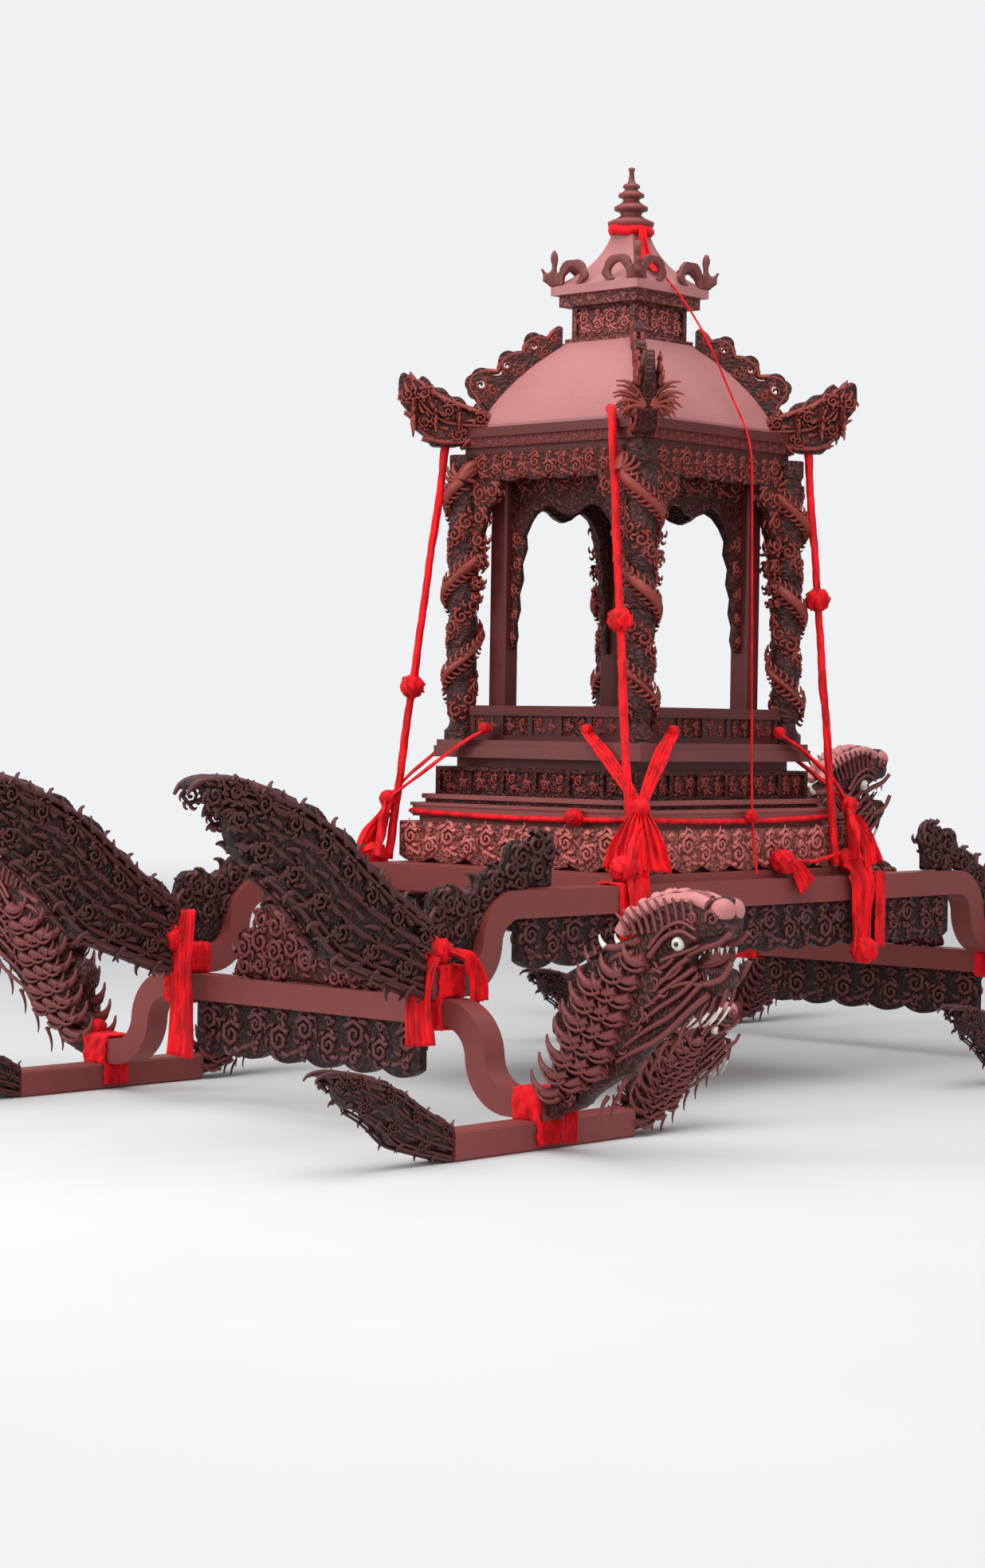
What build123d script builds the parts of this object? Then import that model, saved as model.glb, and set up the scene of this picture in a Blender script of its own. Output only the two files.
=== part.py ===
from build123d import *
import os
from math import atan, degrees, sin, sqrt

# Processional palanquin carried on two dragon beams, two cross-beams and four short poles.
# +X is the front, +Z is up, the undersides of the carrying poles lie at z = 0.
# All lengths are in millimetres.

# Clearances and small edges
soft_gap = 0.3
edge_break = 6.0

# Carrying poles
pole_size = 75.0
pole_plain_half = 340.0
pole_head_length = 450.0
pole_head_rise = 330.0
pole_head_width = 84.0
pole_tail_length = 460.0
pole_tail_rise = 250.0
pole_tail_width = 66.0

# Cross-beams, raised in the middle and low where they cross the poles
cross_width = 75.0
cross_height = 70.0
cross_raised_past_main = 51.0
cross_run = 222.0
cross_drop = 210.0
cross_low_run = 72.0
cross_end_past_pole = 52.0
cross_head_length = 585.0
cross_head_rise = 605.0
cross_head_width = 112.0

# Main beams, raised under the pavilion and low where they cross the cross-beams
main_width = 75.0
main_height = 75.0
main_past_deck = 5.0
main_raised_half = 1036.0
main_run = 205.0
main_drop = 194.0
main_low_run = 59.0
main_end_past_cross = 70.0
main_head_length = 670.0
main_head_rise = 657.0
main_head_width = 120.0
main_tail_length = 830.0
main_tail_rise = 580.0
main_tail_width = 78.0

# Shares of a head's or a tail's width and length
head_core_share = 0.62
brow_share = 0.86
eye_along = 0.730
eye_up = 0.780
eye_share = 0.036
eye_width_share = 0.96
nose_along = 0.915
nose_up = 0.915
nose_share = 0.046
horn_along = 0.520
horn_up = 0.800
horn_angle = 172.0
horn_share = 0.300
horn_root_share = 0.030
horn_tip_share = 0.008
tail_flame_share = 0.70

# Cloth lashings round the crossings
lashing_thickness = 11.0

# Carved boards on the beams
board_thickness = 26.0
main_board_drop = 138.0
main_board_inset = 26.0
main_board_lobes = 14
lobe_share = 0.16
cross_board_drop = 150.0
cross_board_gap = 6.0
cross_board_lobes = 6
crest_half = 286.0
crest_height = 262.0
flame_lap = 174.0
flame_height = 138.0

# Deck
deck_thickness = 24.0
deck_side_margin = 8.0
deck_end_margin = 68.0
rail_width = 70.0
rail_depth = 76.0
rail_lap = 36.0

# Stepped base: layers from the deck up, each as an inset from the skirt's half side and a height
skirt_half = 472.0
skirt_height = 122.0
skirt_board = 30.0
skirt_lobes = 7
step_layers = ((42.0, 15.0), (27.0, 33.0), (70.0, 8.0))
frieze_sill_inset = 54.0
frieze_sill_height = 24.0
frieze_inset = 75.0
frieze_height = 85.0
frieze_panels = 6
panel_margin = 12.0
panel_recess = 8.0
floor_layers = ((120.0, 28.0), (70.0, 34.0), (76.0, 18.0))

# Columns and posts
column_inset = 127.0
column_radius = 38.0
column_height = 850.0
column_foot_radius = 50.0
column_foot_height = 70.0
column_foot_plinth = 28.0
column_foot_bow = 9.0
column_head_height = 60.0
column_head_bevel = 14.0
column_swells = 7
column_swell = 7.0
post_behind_column = 88.0
post_size = 64.0

# Balustrade
rail_top_height = 103.0
handrail = 30.0
handrail_width = 36.0
balustrade_bays = 5
stile_width = 16.0
stile_depth = 22.0
balustrade_board = 12.0

# Cornice, its layers from the columns up as an inset from its half side and a height, and valances
cornice_past_column = 21.0
cornice_layers = ((22.0, 20.0), (10.0, 30.0), (0.0, 28.0))
valance_board = 22.0
valance_drop = 84.0
valance_end_drop = 165.0
valance_lobes = 6
bracket_length = 120.0
bracket_drop = 450.0
bracket_waist = 60.0
bracket_lower_bow = 14.0
bracket_upper_bow = 10.0

# Main roof, a square dome with four curved faces
roof_inset = 41.0
roof_lip = 14.0
roof_top_margin = 4.0
roof_rise = 263.0
roof_wall = 26.0
roof_sagitta = 20.0
corner_length = 271.0
corner_rise = 196.0
corner_width = 96.0
corner_reach_in = 100.0
corner_below_roof = 28.0
hip_width = 30.0

# Drum, upper roof and finial
drum_half = 122.0
drum_height = 142.0
drum_foot_height = 12.0
drum_foot_out = 14.0
drum_cornice_height = 34.0
drum_cornice_out = 28.0
drum_panel_margin = 18.0
upper_overhang = 46.0
upper_band = 26.0
upper_rise = 166.0
upper_top_half = 40.0
upper_sagitta = 24.0
upper_corner_length = 70.0
upper_corner_rise = 112.0
upper_corner_width = 22.0
upper_curl_length = 112.0
upper_curl_rise = 74.0
upper_curl_width = 16.0
finial_rings = ((51.0, 40.0), (43.0, 40.0), (30.0, 46.0))
finial_ring_round = 0.35
finial_ring_taper = 0.82
finial_shaft_radius = 9.0
finial_shaft_height = 60.0
finial_knob_radius = 13.0
finial_knob_reach = 12.0

# Cloth sashes from the roof corners down to the main beams, and bands round the beams
sash_radius = 12.0
sash_clearance = 8.0
sash_head_up = 20.0
sash_rosette_radius = 34.0
sash_knot_radius = 46.0
sash_past_beam = 10.0
band_past_rail = 65.0
band_width = 58.0
band_thickness = 8.0

# Sashes, each as the signs of its end and side, how far its head lies from the cornice's corner,
# how far its foot lies beyond it along the beam, and the height of its rosette above the beam
sashes = (
    (1, 1, 0.0, 0.0, 600.0), (-1, 1, 0.0, 0.0, 548.0), (-1, -1, 120.0, 50.0, 736.0), (1, -1, 0.0, 0.0, 826.0),
)

# Places worked out from the sizes above
deck_half_width = skirt_half + deck_side_margin
deck_half_length = skirt_half + deck_end_margin
rail_x = deck_half_length + rail_width / 2
main_y = deck_half_width + main_past_deck
cross_raised_half = main_y + cross_raised_past_main
pole_y = cross_raised_half + cross_run + cross_low_run
cross_x = main_raised_half + main_run + main_low_run
frieze_half = skirt_half - frieze_inset
column_spacing_half = skirt_half - column_inset
post_spacing_half = column_spacing_half - post_behind_column
cornice_half = column_spacing_half + cornice_past_column
roof_half = cornice_half - roof_inset
roof_top_half = drum_half + drum_foot_out + roof_top_margin
upper_half = drum_half + upper_overhang

# Levels worked out from the sizes above
cross_low = pole_size
cross_high = cross_low + cross_drop
main_low = cross_high + cross_height
main_high = main_low + main_drop
beam_top = main_high + main_height
deck_top = beam_top + deck_thickness
skirt_top = deck_top + skirt_height
step_top = skirt_top + sum(height for _, height in step_layers)
frieze_bottom = step_top + frieze_sill_height
frieze_top = frieze_bottom + frieze_height
floor_top = frieze_top + sum(height for _, height in floor_layers)
column_top = floor_top + column_height
roof_bottom = column_top + sum(height for _, height in cornice_layers)
roof_top = roof_bottom + roof_rise
drum_top = roof_top + drum_height
upper_bottom = drum_top
upper_top = upper_bottom + upper_band + upper_rise

# Dragon's head seen from the side: along and up as shares of its length and rise,
# bow as the outward sagitta of the side that starts there, as a share of that side
head_outline = (
    (0.000, 0.000, 0.00), (0.180, 0.060, -0.06), (0.460, 0.230, -0.08), (0.700, 0.440, -0.10),
    (0.860, 0.560, 0.14), (0.985, 0.640, 0.22), (0.940, 0.700, 0.08), (0.740, 0.650, -0.16),
    (0.800, 0.760, -0.10), (0.965, 0.800, 0.20), (0.965, 0.895, 0.38), (0.890, 0.975, 0.10),
    (0.840, 0.920, -0.10), (0.800, 0.975, 0.18), (0.480, 0.860, -0.05), (0.380, 0.900, 0.20),
    (0.200, 0.860, 0.15), (0.330, 0.760, -0.15), (0.280, 0.700, 0.22), (0.060, 0.640, 0.20),
    (0.170, 0.560, -0.20), (0.150, 0.480, 0.25), (0.010, 0.400, 0.20), (0.090, 0.330, -0.20),
    (0.080, 0.240, 0.12),
)
# Mane and brow plates that stand proud of the head's sides, in the same shares
mane_outline = (
    (0.150, 0.180, -0.05), (0.440, 0.330, -0.10), (0.600, 0.560, 0.20), (0.520, 0.720, 0.10),
    (0.350, 0.680, 0.15), (0.390, 0.600, -0.20), (0.210, 0.545, 0.15), (0.280, 0.450, -0.20),
    (0.130, 0.370, 0.15),
)
brow_outline = (
    (0.560, 0.700, -0.10), (0.800, 0.790, 0.10), (0.940, 0.830, 0.30), (0.900, 0.920, 0.10),
    (0.830, 0.890, -0.10), (0.790, 0.945, 0.15), (0.560, 0.850, 0.20),
)
# Dragon's tail seen from the side, in shares of its length and rise
tail_outline = (
    (0.000, 0.000, -0.08), (0.430, 0.200, -0.12), (0.560, 0.430, -0.12), (0.760, 0.610, 0.10),
    (0.830, 0.760, 0.10), (0.840, 0.860, -0.15), (1.000, 0.920, 0.20), (0.970, 0.985, 0.06),
    (0.700, 0.940, 0.16), (0.560, 0.870, 0.20), (0.420, 0.780, 0.18), (0.280, 0.620, 0.20),
    (0.160, 0.480, 0.18), (0.000, 0.360, 0.00),
)
tail_spine = (
    (0.000, 0.000, -0.08), (0.400, 0.240, -0.10), (0.560, 0.500, -0.08), (0.800, 0.740, 0.00),
    (0.780, 0.850, 0.05), (0.500, 0.740, 0.08), (0.280, 0.500, 0.08),
)
# Flame on a main beam, from its outer end back over two humps to its start on the raised middle,
# in shares of its length and its height above the beam
flame_outline = (
    (1.000, -0.450, 0.00), (0.965, -0.060, 0.20), (0.850, 0.120, 0.15), (0.700, 0.000, -0.25),
    (0.600, 0.220, 0.20), (0.530, 0.420, 0.12), (0.440, 0.500, -0.20), (0.400, 0.760, 0.25),
    (0.240, 0.900, -0.15), (0.170, 1.000, 0.25), (0.030, 0.980, 0.20), (0.000, 0.620, -0.10),
)
# Cloud-shaped crest over a cross-beam, right half, in shares of its half length and height
crest_outline = (
    (1.000, 0.000, 0.25), (0.900, 0.220, -0.20), (0.980, 0.400, 0.35), (0.740, 0.480, -0.25),
    (0.700, 0.700, 0.30), (0.420, 0.720, -0.20), (0.300, 0.950, 0.25),
)
# Corner dragon of the roof, in shares of its length outwards and its rise
corner_outline = (
    (0.000, 0.000, 0.00), (0.380, -0.130, 0.00), (0.640, -0.130, -0.10), (0.820, 0.120, -0.12),
    (0.930, 0.450, 0.12), (1.000, 0.820, 0.15), (0.960, 1.000, 0.12), (0.820, 0.850, -0.20),
    (0.760, 0.960, 0.20), (0.620, 0.660, -0.20), (0.560, 0.800, 0.20), (0.430, 0.500, -0.20),
    (0.370, 0.660, 0.20), (0.240, 0.420, -0.20), (0.160, 0.560, 0.20), (0.000, 0.380, 0.00),
)
# Scroll crest along a hip of the main roof, in shares of the hip's run and of the roof's rise,
# and its holes as a place and a radius in shares of the run
hip_outline = (
    (0.040, 0.910, 0.00), (0.500, 0.460, 0.00), (0.860, 0.070, 0.00), (0.930, 0.220, -0.10),
    (0.950, 0.360, 0.30), (1.090, 0.460, 0.30), (1.050, 0.620, 0.25), (0.860, 0.680, -0.25),
    (0.700, 0.640, -0.10), (0.740, 0.760, 0.35), (0.560, 0.880, 0.20), (0.430, 0.860, -0.10),
    (0.450, 1.000, 0.35), (0.280, 1.090, 0.20), (0.180, 1.020, -0.15), (0.110, 1.150, 0.30),
    (0.010, 1.170, 0.00), (0.010, 1.000, 0.00),
)
hip_holes = ((0.940, 0.510, 0.055), (0.640, 0.740, 0.040), (0.340, 0.960, 0.040))
# Spire over a corner of the upper roof, in shares of its length outwards and its rise
spire_outline = (
    (0.000, 0.000, 0.00), (0.550, 0.000, -0.15), (0.900, 0.140, -0.20), (1.000, 0.480, 0.30),
    (0.800, 0.440, -0.25), (0.560, 0.380, -0.15), (0.520, 0.700, 0.15), (0.360, 1.000, 0.12),
    (0.220, 0.640, -0.12),
)
# Curl beside a corner of the upper roof, in shares of its length along the eave and its rise
curl_outline = (
    (0.000, 0.000, 0.00), (0.240, 0.000, -0.22), (0.340, 0.560, -0.25), (0.640, 0.640, -0.25),
    (0.760, 0.300, -0.30), (0.620, 0.140, 0.35), (0.920, 0.120, 0.35), (0.980, 0.560, 0.25),
    (0.520, 1.000, 0.25), (0.080, 0.640, 0.15),
)


def side_plane(y):
    """Upright plane along the object: local x is +X, local y is +Z."""
    return Plane((0, y, 0), x_dir=(1, 0, 0), z_dir=(0, -1, 0))


def end_plane(x):
    """Upright plane across the object: local x is +Y, local y is +Z."""
    return Plane((x, 0, 0), x_dir=(0, 1, 0), z_dir=(1, 0, 0))


def closed_outline(table, length, rise):
    """Face from a table of along, up and bow shares, scaled to a length and a rise."""
    corners = [Vector(length * along, rise * up) for along, up, _ in table]
    edges = []
    for i, (_, _, bow) in enumerate(table):
        start, end = corners[i], corners[(i + 1) % len(corners)]
        if bow:
            edges.append(SagittaArc(start, end, -bow * (end - start).length))
        else:
            edges.append(Line(start, end))
    return make_face(edges)


def board(face, thickness):
    """Board of one outline, the same amount to each side of its plane."""
    return extrude(face, thickness / 2, both=True)


def block(half, low, height):
    """Square block on the vertical axis."""
    return Pos(0, 0, low + height / 2) * Box(2 * half, 2 * half, height)


def stack(layers, low):
    """Square blocks on each other, from a table of half side and height."""
    result = None
    for half, height in layers:
        layer = block(half, low, height)
        result = layer if result is None else result + layer
        low += height
    return result


def set_back(half, layers):
    """Layers given as insets from a half side, as half sides and heights."""
    return [(half - inset, height) for inset, height in layers]


def beam_face(raised_half, run, drop, end, low, height):
    """Side view of a beam with a raised middle, two S-curves and low straight ends."""
    turn = 2 * atan(drop / run)
    radius = run / (2 * sin(turn))
    outer, inner = radius + height / 2, radius - height / 2
    high_mid, low_mid = low + drop + height / 2, low + height / 2
    top_centre = (raised_half, high_mid - radius)
    low_centre = (raised_half + run, low_mid + radius)
    top_arc = (90.0, -degrees(turn))
    low_arc = (270.0 - degrees(turn), degrees(turn))
    upper = [
        Line((0, high_mid + height / 2), (raised_half, high_mid + height / 2)),
        CenterArc(top_centre, outer, *top_arc),
        CenterArc(low_centre, inner, *low_arc),
        Line((raised_half + run, low_mid + height / 2), (end, low_mid + height / 2)),
    ]
    lower = [
        Line((0, high_mid - height / 2), (raised_half, high_mid - height / 2)),
        CenterArc(top_centre, inner, *top_arc),
        CenterArc(low_centre, outer, *low_arc),
        Line((raised_half + run, low_mid - height / 2), (end, low_mid - height / 2)),
    ]
    closing = [
        Line((end, low_mid - height / 2), (end, low_mid + height / 2)),
        Line((0, high_mid - height / 2), (0, high_mid + height / 2)),
    ]
    half_face = make_face(upper + lower + closing)
    return half_face + mirror(half_face, about=Plane.YZ)


def with_neck(table, neck, rise):
    """Outline closed by the square end that meets a beam of the given height."""
    return table + ((0.0, neck / rise, 0.0),)


def dragon_head(length, rise, width, neck):
    """Carved head on its neck: local x forwards, local y up, symmetric about its own plane."""
    profile = closed_outline(with_neck(head_outline, neck, rise), length, rise)
    core = board(profile, width * head_core_share)
    mane = board(closed_outline(mane_outline, length, rise), width)
    brow = board(closed_outline(brow_outline, length, rise), width * brow_share)
    eyes = Pos(eye_along * length, eye_up * rise, 0) * Cylinder(eye_share * length, width * eye_width_share)
    nose = Pos(nose_along * length, nose_up * rise, 0) * Sphere(nose_share * length)
    horn_place = Pos(horn_along * length, horn_up * rise, 0) * Rot(0, 0, horn_angle)
    horn_length = horn_share * length
    horn = Cone(horn_root_share * length, horn_tip_share * length, horn_length)
    horn = horn_place * Pos(horn_length / 2, 0, 0) * Rot(0, 90, 0) * horn
    return core + mane + brow + eyes + nose + horn


def dragon_tail(length, rise, width, neck):
    """Carved tail: a flame-edged plate with a thicker spine."""
    flame = board(closed_outline(with_neck(tail_outline, neck, rise), length, rise), width * tail_flame_share)
    spine = board(closed_outline(with_neck(tail_spine, neck, rise), length, rise), width)
    return flame + spine


def lobed_board(half, top, drop, lobes):
    """Hanging board: straight top, lower edge of equal round lobes."""
    pitch = 2 * half / lobes
    dip = drop * lobe_share
    edges = [
        Line((-half, top - drop + dip), (-half, top)),
        Line((-half, top), (half, top)),
        Line((half, top), (half, top - drop + dip)),
    ]
    for i in range(lobes):
        start = -half + i * pitch
        edges.append(SagittaArc((start, top - drop + dip), (start + pitch, top - drop + dip), -dip))
    return make_face(edges)


def crossing_lashing(x, y, low, middle, top, upper_width, lower_width, under):
    """Cloth round two crossed beams, the upper one along X and the lower one along Y."""
    wrap = lashing_thickness
    upper, lower = upper_width / 2 + soft_gap, lower_width / 2 + soft_gap
    size_x, size_y = 2 * (lower + wrap), 2 * (upper + wrap)
    top_face = top + soft_gap + wrap
    bottom_face = low - soft_gap - wrap if under else low + wrap
    body = Pos(0, 0, (bottom_face + top_face) / 2) * Box(size_x, size_y, top_face - bottom_face)
    upper_depth = top + soft_gap - middle
    upper_way = Pos(0, 0, middle + upper_depth / 2) * Box(2 * size_x, 2 * upper, upper_depth)
    lower_depth = middle - low + soft_gap
    lower_way = Pos(0, 0, middle - lower_depth / 2) * Box(2 * lower, 2 * size_y, lower_depth)
    return Pos(x, y, 0) * (body - upper_way - lower_way)


def four_sides(piece):
    """One piece of the front side and its three turned copies."""
    return [Rot(0, 0, 90 * turn) * piece for turn in range(4)]


nodes = {}

# Carrying poles with their heads and tails
for side, y in (("left", pole_y), ("right", -pole_y)):
    for end, x in (("front", cross_x), ("rear", -cross_x)):
        pole = Pos(x, y, pole_size / 2) * Box(2 * pole_plain_half, pole_size, pole_size)
        pole = chamfer(pole.edges().filter_by(Axis.X), edge_break)
        head_place = Plane((x + pole_plain_half, y, 0), x_dir=(1, 0, 0), z_dir=(0, -1, 0))
        tail_place = Plane((x - pole_plain_half, y, 0), x_dir=(-1, 0, 0), z_dir=(0, 1, 0))
        nodes[f"pole_{end}_{side}"] = pole
        nodes[f"pole_head_{end}_{side}"] = head_place.location * dragon_head(
            pole_head_length, pole_head_rise, pole_head_width, pole_size)
        nodes[f"pole_tail_{end}_{side}"] = tail_place.location * dragon_tail(
            pole_tail_length, pole_tail_rise, pole_tail_width, pole_size)

# Cross-beams with a head at each end, a carved board below and a crest above
cross_end = pole_y + cross_end_past_pole
cross_board_half = main_y - main_width / 2 - soft_gap - lashing_thickness - cross_board_gap
for end, x in (("front", cross_x), ("rear", -cross_x)):
    face = beam_face(cross_raised_half, cross_run, cross_drop, cross_end, cross_low, cross_height)
    nodes[f"cross_beam_{end}"] = board(end_plane(x) * face, cross_width)
    for side, way in (("left", 1), ("right", -1)):
        place = Plane((x, way * cross_end, cross_low), x_dir=(0, way, 0), z_dir=(way, 0, 0))
        nodes[f"cross_head_{end}_{side}"] = place.location * dragon_head(
            cross_head_length, cross_head_rise, cross_head_width, cross_height)
    hanging = lobed_board(cross_board_half, cross_high, cross_board_drop, cross_board_lobes)
    nodes[f"cross_board_{end}"] = board(end_plane(x) * hanging, board_thickness)
crest_middle = ((0.0, 1.0, 0.0), (0.0, 0.0, 0.0))
crest_half_face = closed_outline(crest_outline + crest_middle, crest_half, crest_height)
crest_face = Pos(0, main_low) * (crest_half_face + mirror(crest_half_face, about=Plane.YZ))
nodes["cross_crests"] = Compound([
    board(end_plane(x) * crest_face, board_thickness) for x in (cross_x, -cross_x)])

# Main beams with head, tail, carved board and flames; a flame's foot follows the middle of its beam
main_end = cross_x + main_end_past_cross
main_board_half = main_raised_half - main_board_inset
flame_start = main_raised_half - flame_lap
flame_length = main_end - flame_start
flame_foot = tuple(
    ((x - flame_start) / flame_length, (z - beam_top) / flame_height, 0.0) for x, z in (
        (flame_start, main_high + main_height / 2), (main_raised_half, main_high + main_height / 2),
        (main_raised_half + main_run, main_low + main_height / 2), (main_end, main_low + main_height / 2)))
flame_face = Pos(flame_start, beam_top) * closed_outline(
    flame_foot + flame_outline, flame_length, flame_height)
flame_pair = flame_face + mirror(flame_face, about=Plane.YZ)
lashings = {(x, y): crossing_lashing(
    x, y, cross_high, main_low, main_low + main_height, main_width, cross_width, True)
    for x in (cross_x, -cross_x) for y in (main_y, -main_y)}
for side, y in (("left", main_y), ("right", -main_y)):
    face = beam_face(main_raised_half, main_run, main_drop, main_end, main_low, main_height)
    nodes[f"main_beam_{side}"] = board(side_plane(y) * face, main_width)
    head_place = Plane((main_end, y, main_low), x_dir=(1, 0, 0), z_dir=(0, -1, 0))
    tail_place = Plane((-main_end, y, main_low), x_dir=(-1, 0, 0), z_dir=(0, 1, 0))
    nodes[f"main_head_{side}"] = head_place.location * dragon_head(
        main_head_length, main_head_rise, main_head_width, main_height)
    nodes[f"main_tail_{side}"] = tail_place.location * dragon_tail(
        main_tail_length, main_tail_rise, main_tail_width, main_height)
    hanging = lobed_board(main_board_half, main_high, main_board_drop, main_board_lobes)
    nodes[f"main_board_{side}"] = board(side_plane(y) * hanging, board_thickness)
    flames = board(side_plane(y) * flame_pair, board_thickness) - nodes[f"main_beam_{side}"]
    nodes[f"beam_flames_{side}"] = flames - lashings[cross_x, y] - lashings[-cross_x, y]

# Lashings: right round each pair of beams, but open below where the poles rest on the floor
nodes["beam_lashings"] = Compound(list(lashings.values()))
nodes["pole_lashings"] = Compound([
    Rot(0, 0, 90) * crossing_lashing(
        y, -x, 0, cross_low, cross_low + cross_height, cross_width, pole_size, False)
    for x in (cross_x, -cross_x) for y in (pole_y, -pole_y)])

# Deck
rails = []
for x in (rail_x, -rail_x):
    top = deck_top
    between = Pos(x, 0, top - rail_depth / 2) * Box(rail_width, 2 * main_y - main_width, rail_depth)
    lap_length = 2 * (main_y - main_width / 2 + rail_lap)
    lap = Pos(x, 0, top - deck_thickness / 2) * Box(rail_width, lap_length, deck_thickness)
    rails.append(between + lap)
nodes["deck_rails"] = Compound(rails)
nodes["deck_boards"] = Pos(0, 0, beam_top + deck_thickness / 2) * Box(
    2 * deck_half_length, 2 * deck_half_width, deck_thickness)

# Stepped base
skirt_face = lobed_board(skirt_half, skirt_top, skirt_height, skirt_lobes)
skirt_side = board(end_plane(skirt_half - skirt_board / 2) * skirt_face, skirt_board)
skirt_core = block(skirt_half - skirt_board, deck_top, skirt_height)
skirt_hollow = block(skirt_half - 2 * skirt_board, deck_top, skirt_height)
skirt = skirt_core - skirt_hollow
for piece in four_sides(skirt_side):
    skirt += piece
nodes["base_skirt"] = skirt
nodes["base_step"] = stack(set_back(skirt_half, step_layers), skirt_top)
frieze_sill = block(skirt_half - frieze_sill_inset, step_top, frieze_sill_height)
frieze = frieze_sill + block(frieze_half, frieze_bottom, frieze_height)
panel_pitch = 2 * (frieze_half - panel_margin) / frieze_panels
panel = Box(2 * panel_recess, panel_pitch - panel_margin, frieze_height - 2 * panel_margin)
for i in range(frieze_panels):
    y = -frieze_half + panel_margin + (i + 0.5) * panel_pitch
    for cut in four_sides(Pos(frieze_half, y, frieze_bottom + frieze_height / 2) * panel):
        frieze -= cut
nodes["base_frieze"] = frieze
nodes["floor_slab"] = stack(set_back(skirt_half, floor_layers), frieze_top)

# Dragon columns
swell_height = (column_height - column_foot_height - column_head_height) / column_swells
head_start = column_height - column_head_height
head_radius = column_radius + column_swell
column_edges = [
    Line((0, 0), (column_foot_radius, 0)),
    Line((column_foot_radius, 0), (column_foot_radius, column_foot_plinth)),
    SagittaArc(
        (column_foot_radius, column_foot_plinth), (column_radius, column_foot_height), column_foot_bow),
]
for i in range(column_swells):
    start = column_foot_height + i * swell_height
    column_edges.append(SagittaArc(
        (column_radius, start), (column_radius, start + swell_height), -column_swell))
column_edges += [
    Line((column_radius, head_start), (head_radius, head_start + column_head_bevel)),
    Line((head_radius, head_start + column_head_bevel), (head_radius, column_height)),
    Line((head_radius, column_height), (0, column_height)),
    Line((0, column_height), (0, 0)),
]
column = revolve(Plane.XZ * make_face(column_edges), Axis.Z)
for end, x in (("front", column_spacing_half), ("rear", -column_spacing_half)):
    for side_name, y in (("left", column_spacing_half), ("right", -column_spacing_half)):
        nodes[f"dragon_column_{end}_{side_name}"] = Pos(x, y, floor_top) * column

# Inner posts
post = Box(post_size, post_size, column_height)
post = chamfer(post.edges().filter_by(Axis.Z), edge_break)
nodes["inner_posts"] = Compound([
    Pos(x, y, floor_top + column_height / 2) * post
    for x in (post_spacing_half, -post_spacing_half) for y in (post_spacing_half, -post_spacing_half)])

# Balustrade
span_half = column_spacing_half - column_foot_radius - soft_gap
bay = (2 * span_half - stile_width) / balustrade_bays
side = Pos(column_spacing_half, 0, floor_top + rail_top_height - handrail / 2) * Box(
    handrail_width, 2 * span_half, handrail)
side += Pos(column_spacing_half, 0, floor_top + stile_width / 2) * Box(
    stile_depth, 2 * span_half, stile_width)
for i in range(balustrade_bays + 1):
    y = -span_half + stile_width / 2 + i * bay
    side += Pos(column_spacing_half, y, floor_top + rail_top_height / 2) * Box(
        stile_depth, stile_width, rail_top_height - handrail / 2)
for i in range(0, balustrade_bays, 2):
    y = -span_half + stile_width / 2 + (i + 0.5) * bay
    side += Pos(column_spacing_half, y, floor_top + rail_top_height / 2) * Box(
        balustrade_board, bay, rail_top_height - handrail)
nodes["balustrades"] = Compound(four_sides(side))

# Valances with long end brackets
valance_half = column_spacing_half - column_radius - column_swell - soft_gap
valance_face = lobed_board(valance_half, column_top, valance_drop, valance_lobes)
bracket_inner = valance_half - bracket_length
bracket_points = [
    (valance_half, column_top - bracket_drop),
    (valance_half - bracket_waist, column_top - valance_end_drop),
    (bracket_inner, column_top - valance_drop / 2),
]
bracket_face = make_face([
    Line((valance_half, column_top), bracket_points[0]),
    SagittaArc(bracket_points[0], bracket_points[1], -bracket_lower_bow),
    SagittaArc(bracket_points[1], bracket_points[2], bracket_upper_bow),
    Line(bracket_points[2], (bracket_inner, column_top)),
    Line((bracket_inner, column_top), (valance_half, column_top)),
])
valance_face = valance_face + bracket_face + mirror(bracket_face, about=Plane.YZ)
valance = board(end_plane(column_spacing_half) * valance_face, valance_board)
nodes["valances"] = Compound(four_sides(valance))

# Cornice, as wide inwards as the posts that help to carry it
cornice_inner_half = post_spacing_half - post_size / 2
cornice = stack(set_back(cornice_half, cornice_layers), column_top)
nodes["eave_cornice"] = cornice - block(cornice_inner_half, column_top, roof_bottom - column_top)


def dome_face(half, low, lip, top_half, top, sagitta):
    """Side view of a square dome: a short upright lip, then a curved face up to the top."""
    return make_face([
        Line((-half, low), (half, low)),
        Line((half, low), (half, low + lip)),
        SagittaArc((half, low + lip), (top_half, top), -sagitta),
        Line((top_half, top), (-top_half, top)),
        SagittaArc((-top_half, top), (-half, low + lip), -sagitta),
        Line((-half, low + lip), (-half, low)),
    ])


def square_dome(half, low, lip, top_half, top, sagitta):
    """Solid whose two side views are the same dome face."""
    face = dome_face(half, low, lip, top_half, top, sagitta)
    return board(side_plane(0) * face, 2 * half) & board(end_plane(0) * face, 2 * half)


outer = square_dome(roof_half, roof_bottom, roof_lip, roof_top_half, roof_top, roof_sagitta)
inner = square_dome(roof_half - roof_wall, roof_bottom, roof_lip, roof_top_half - roof_wall,
                    roof_top - roof_wall, roof_sagitta)
nodes["main_roof"] = outer - inner

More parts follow.
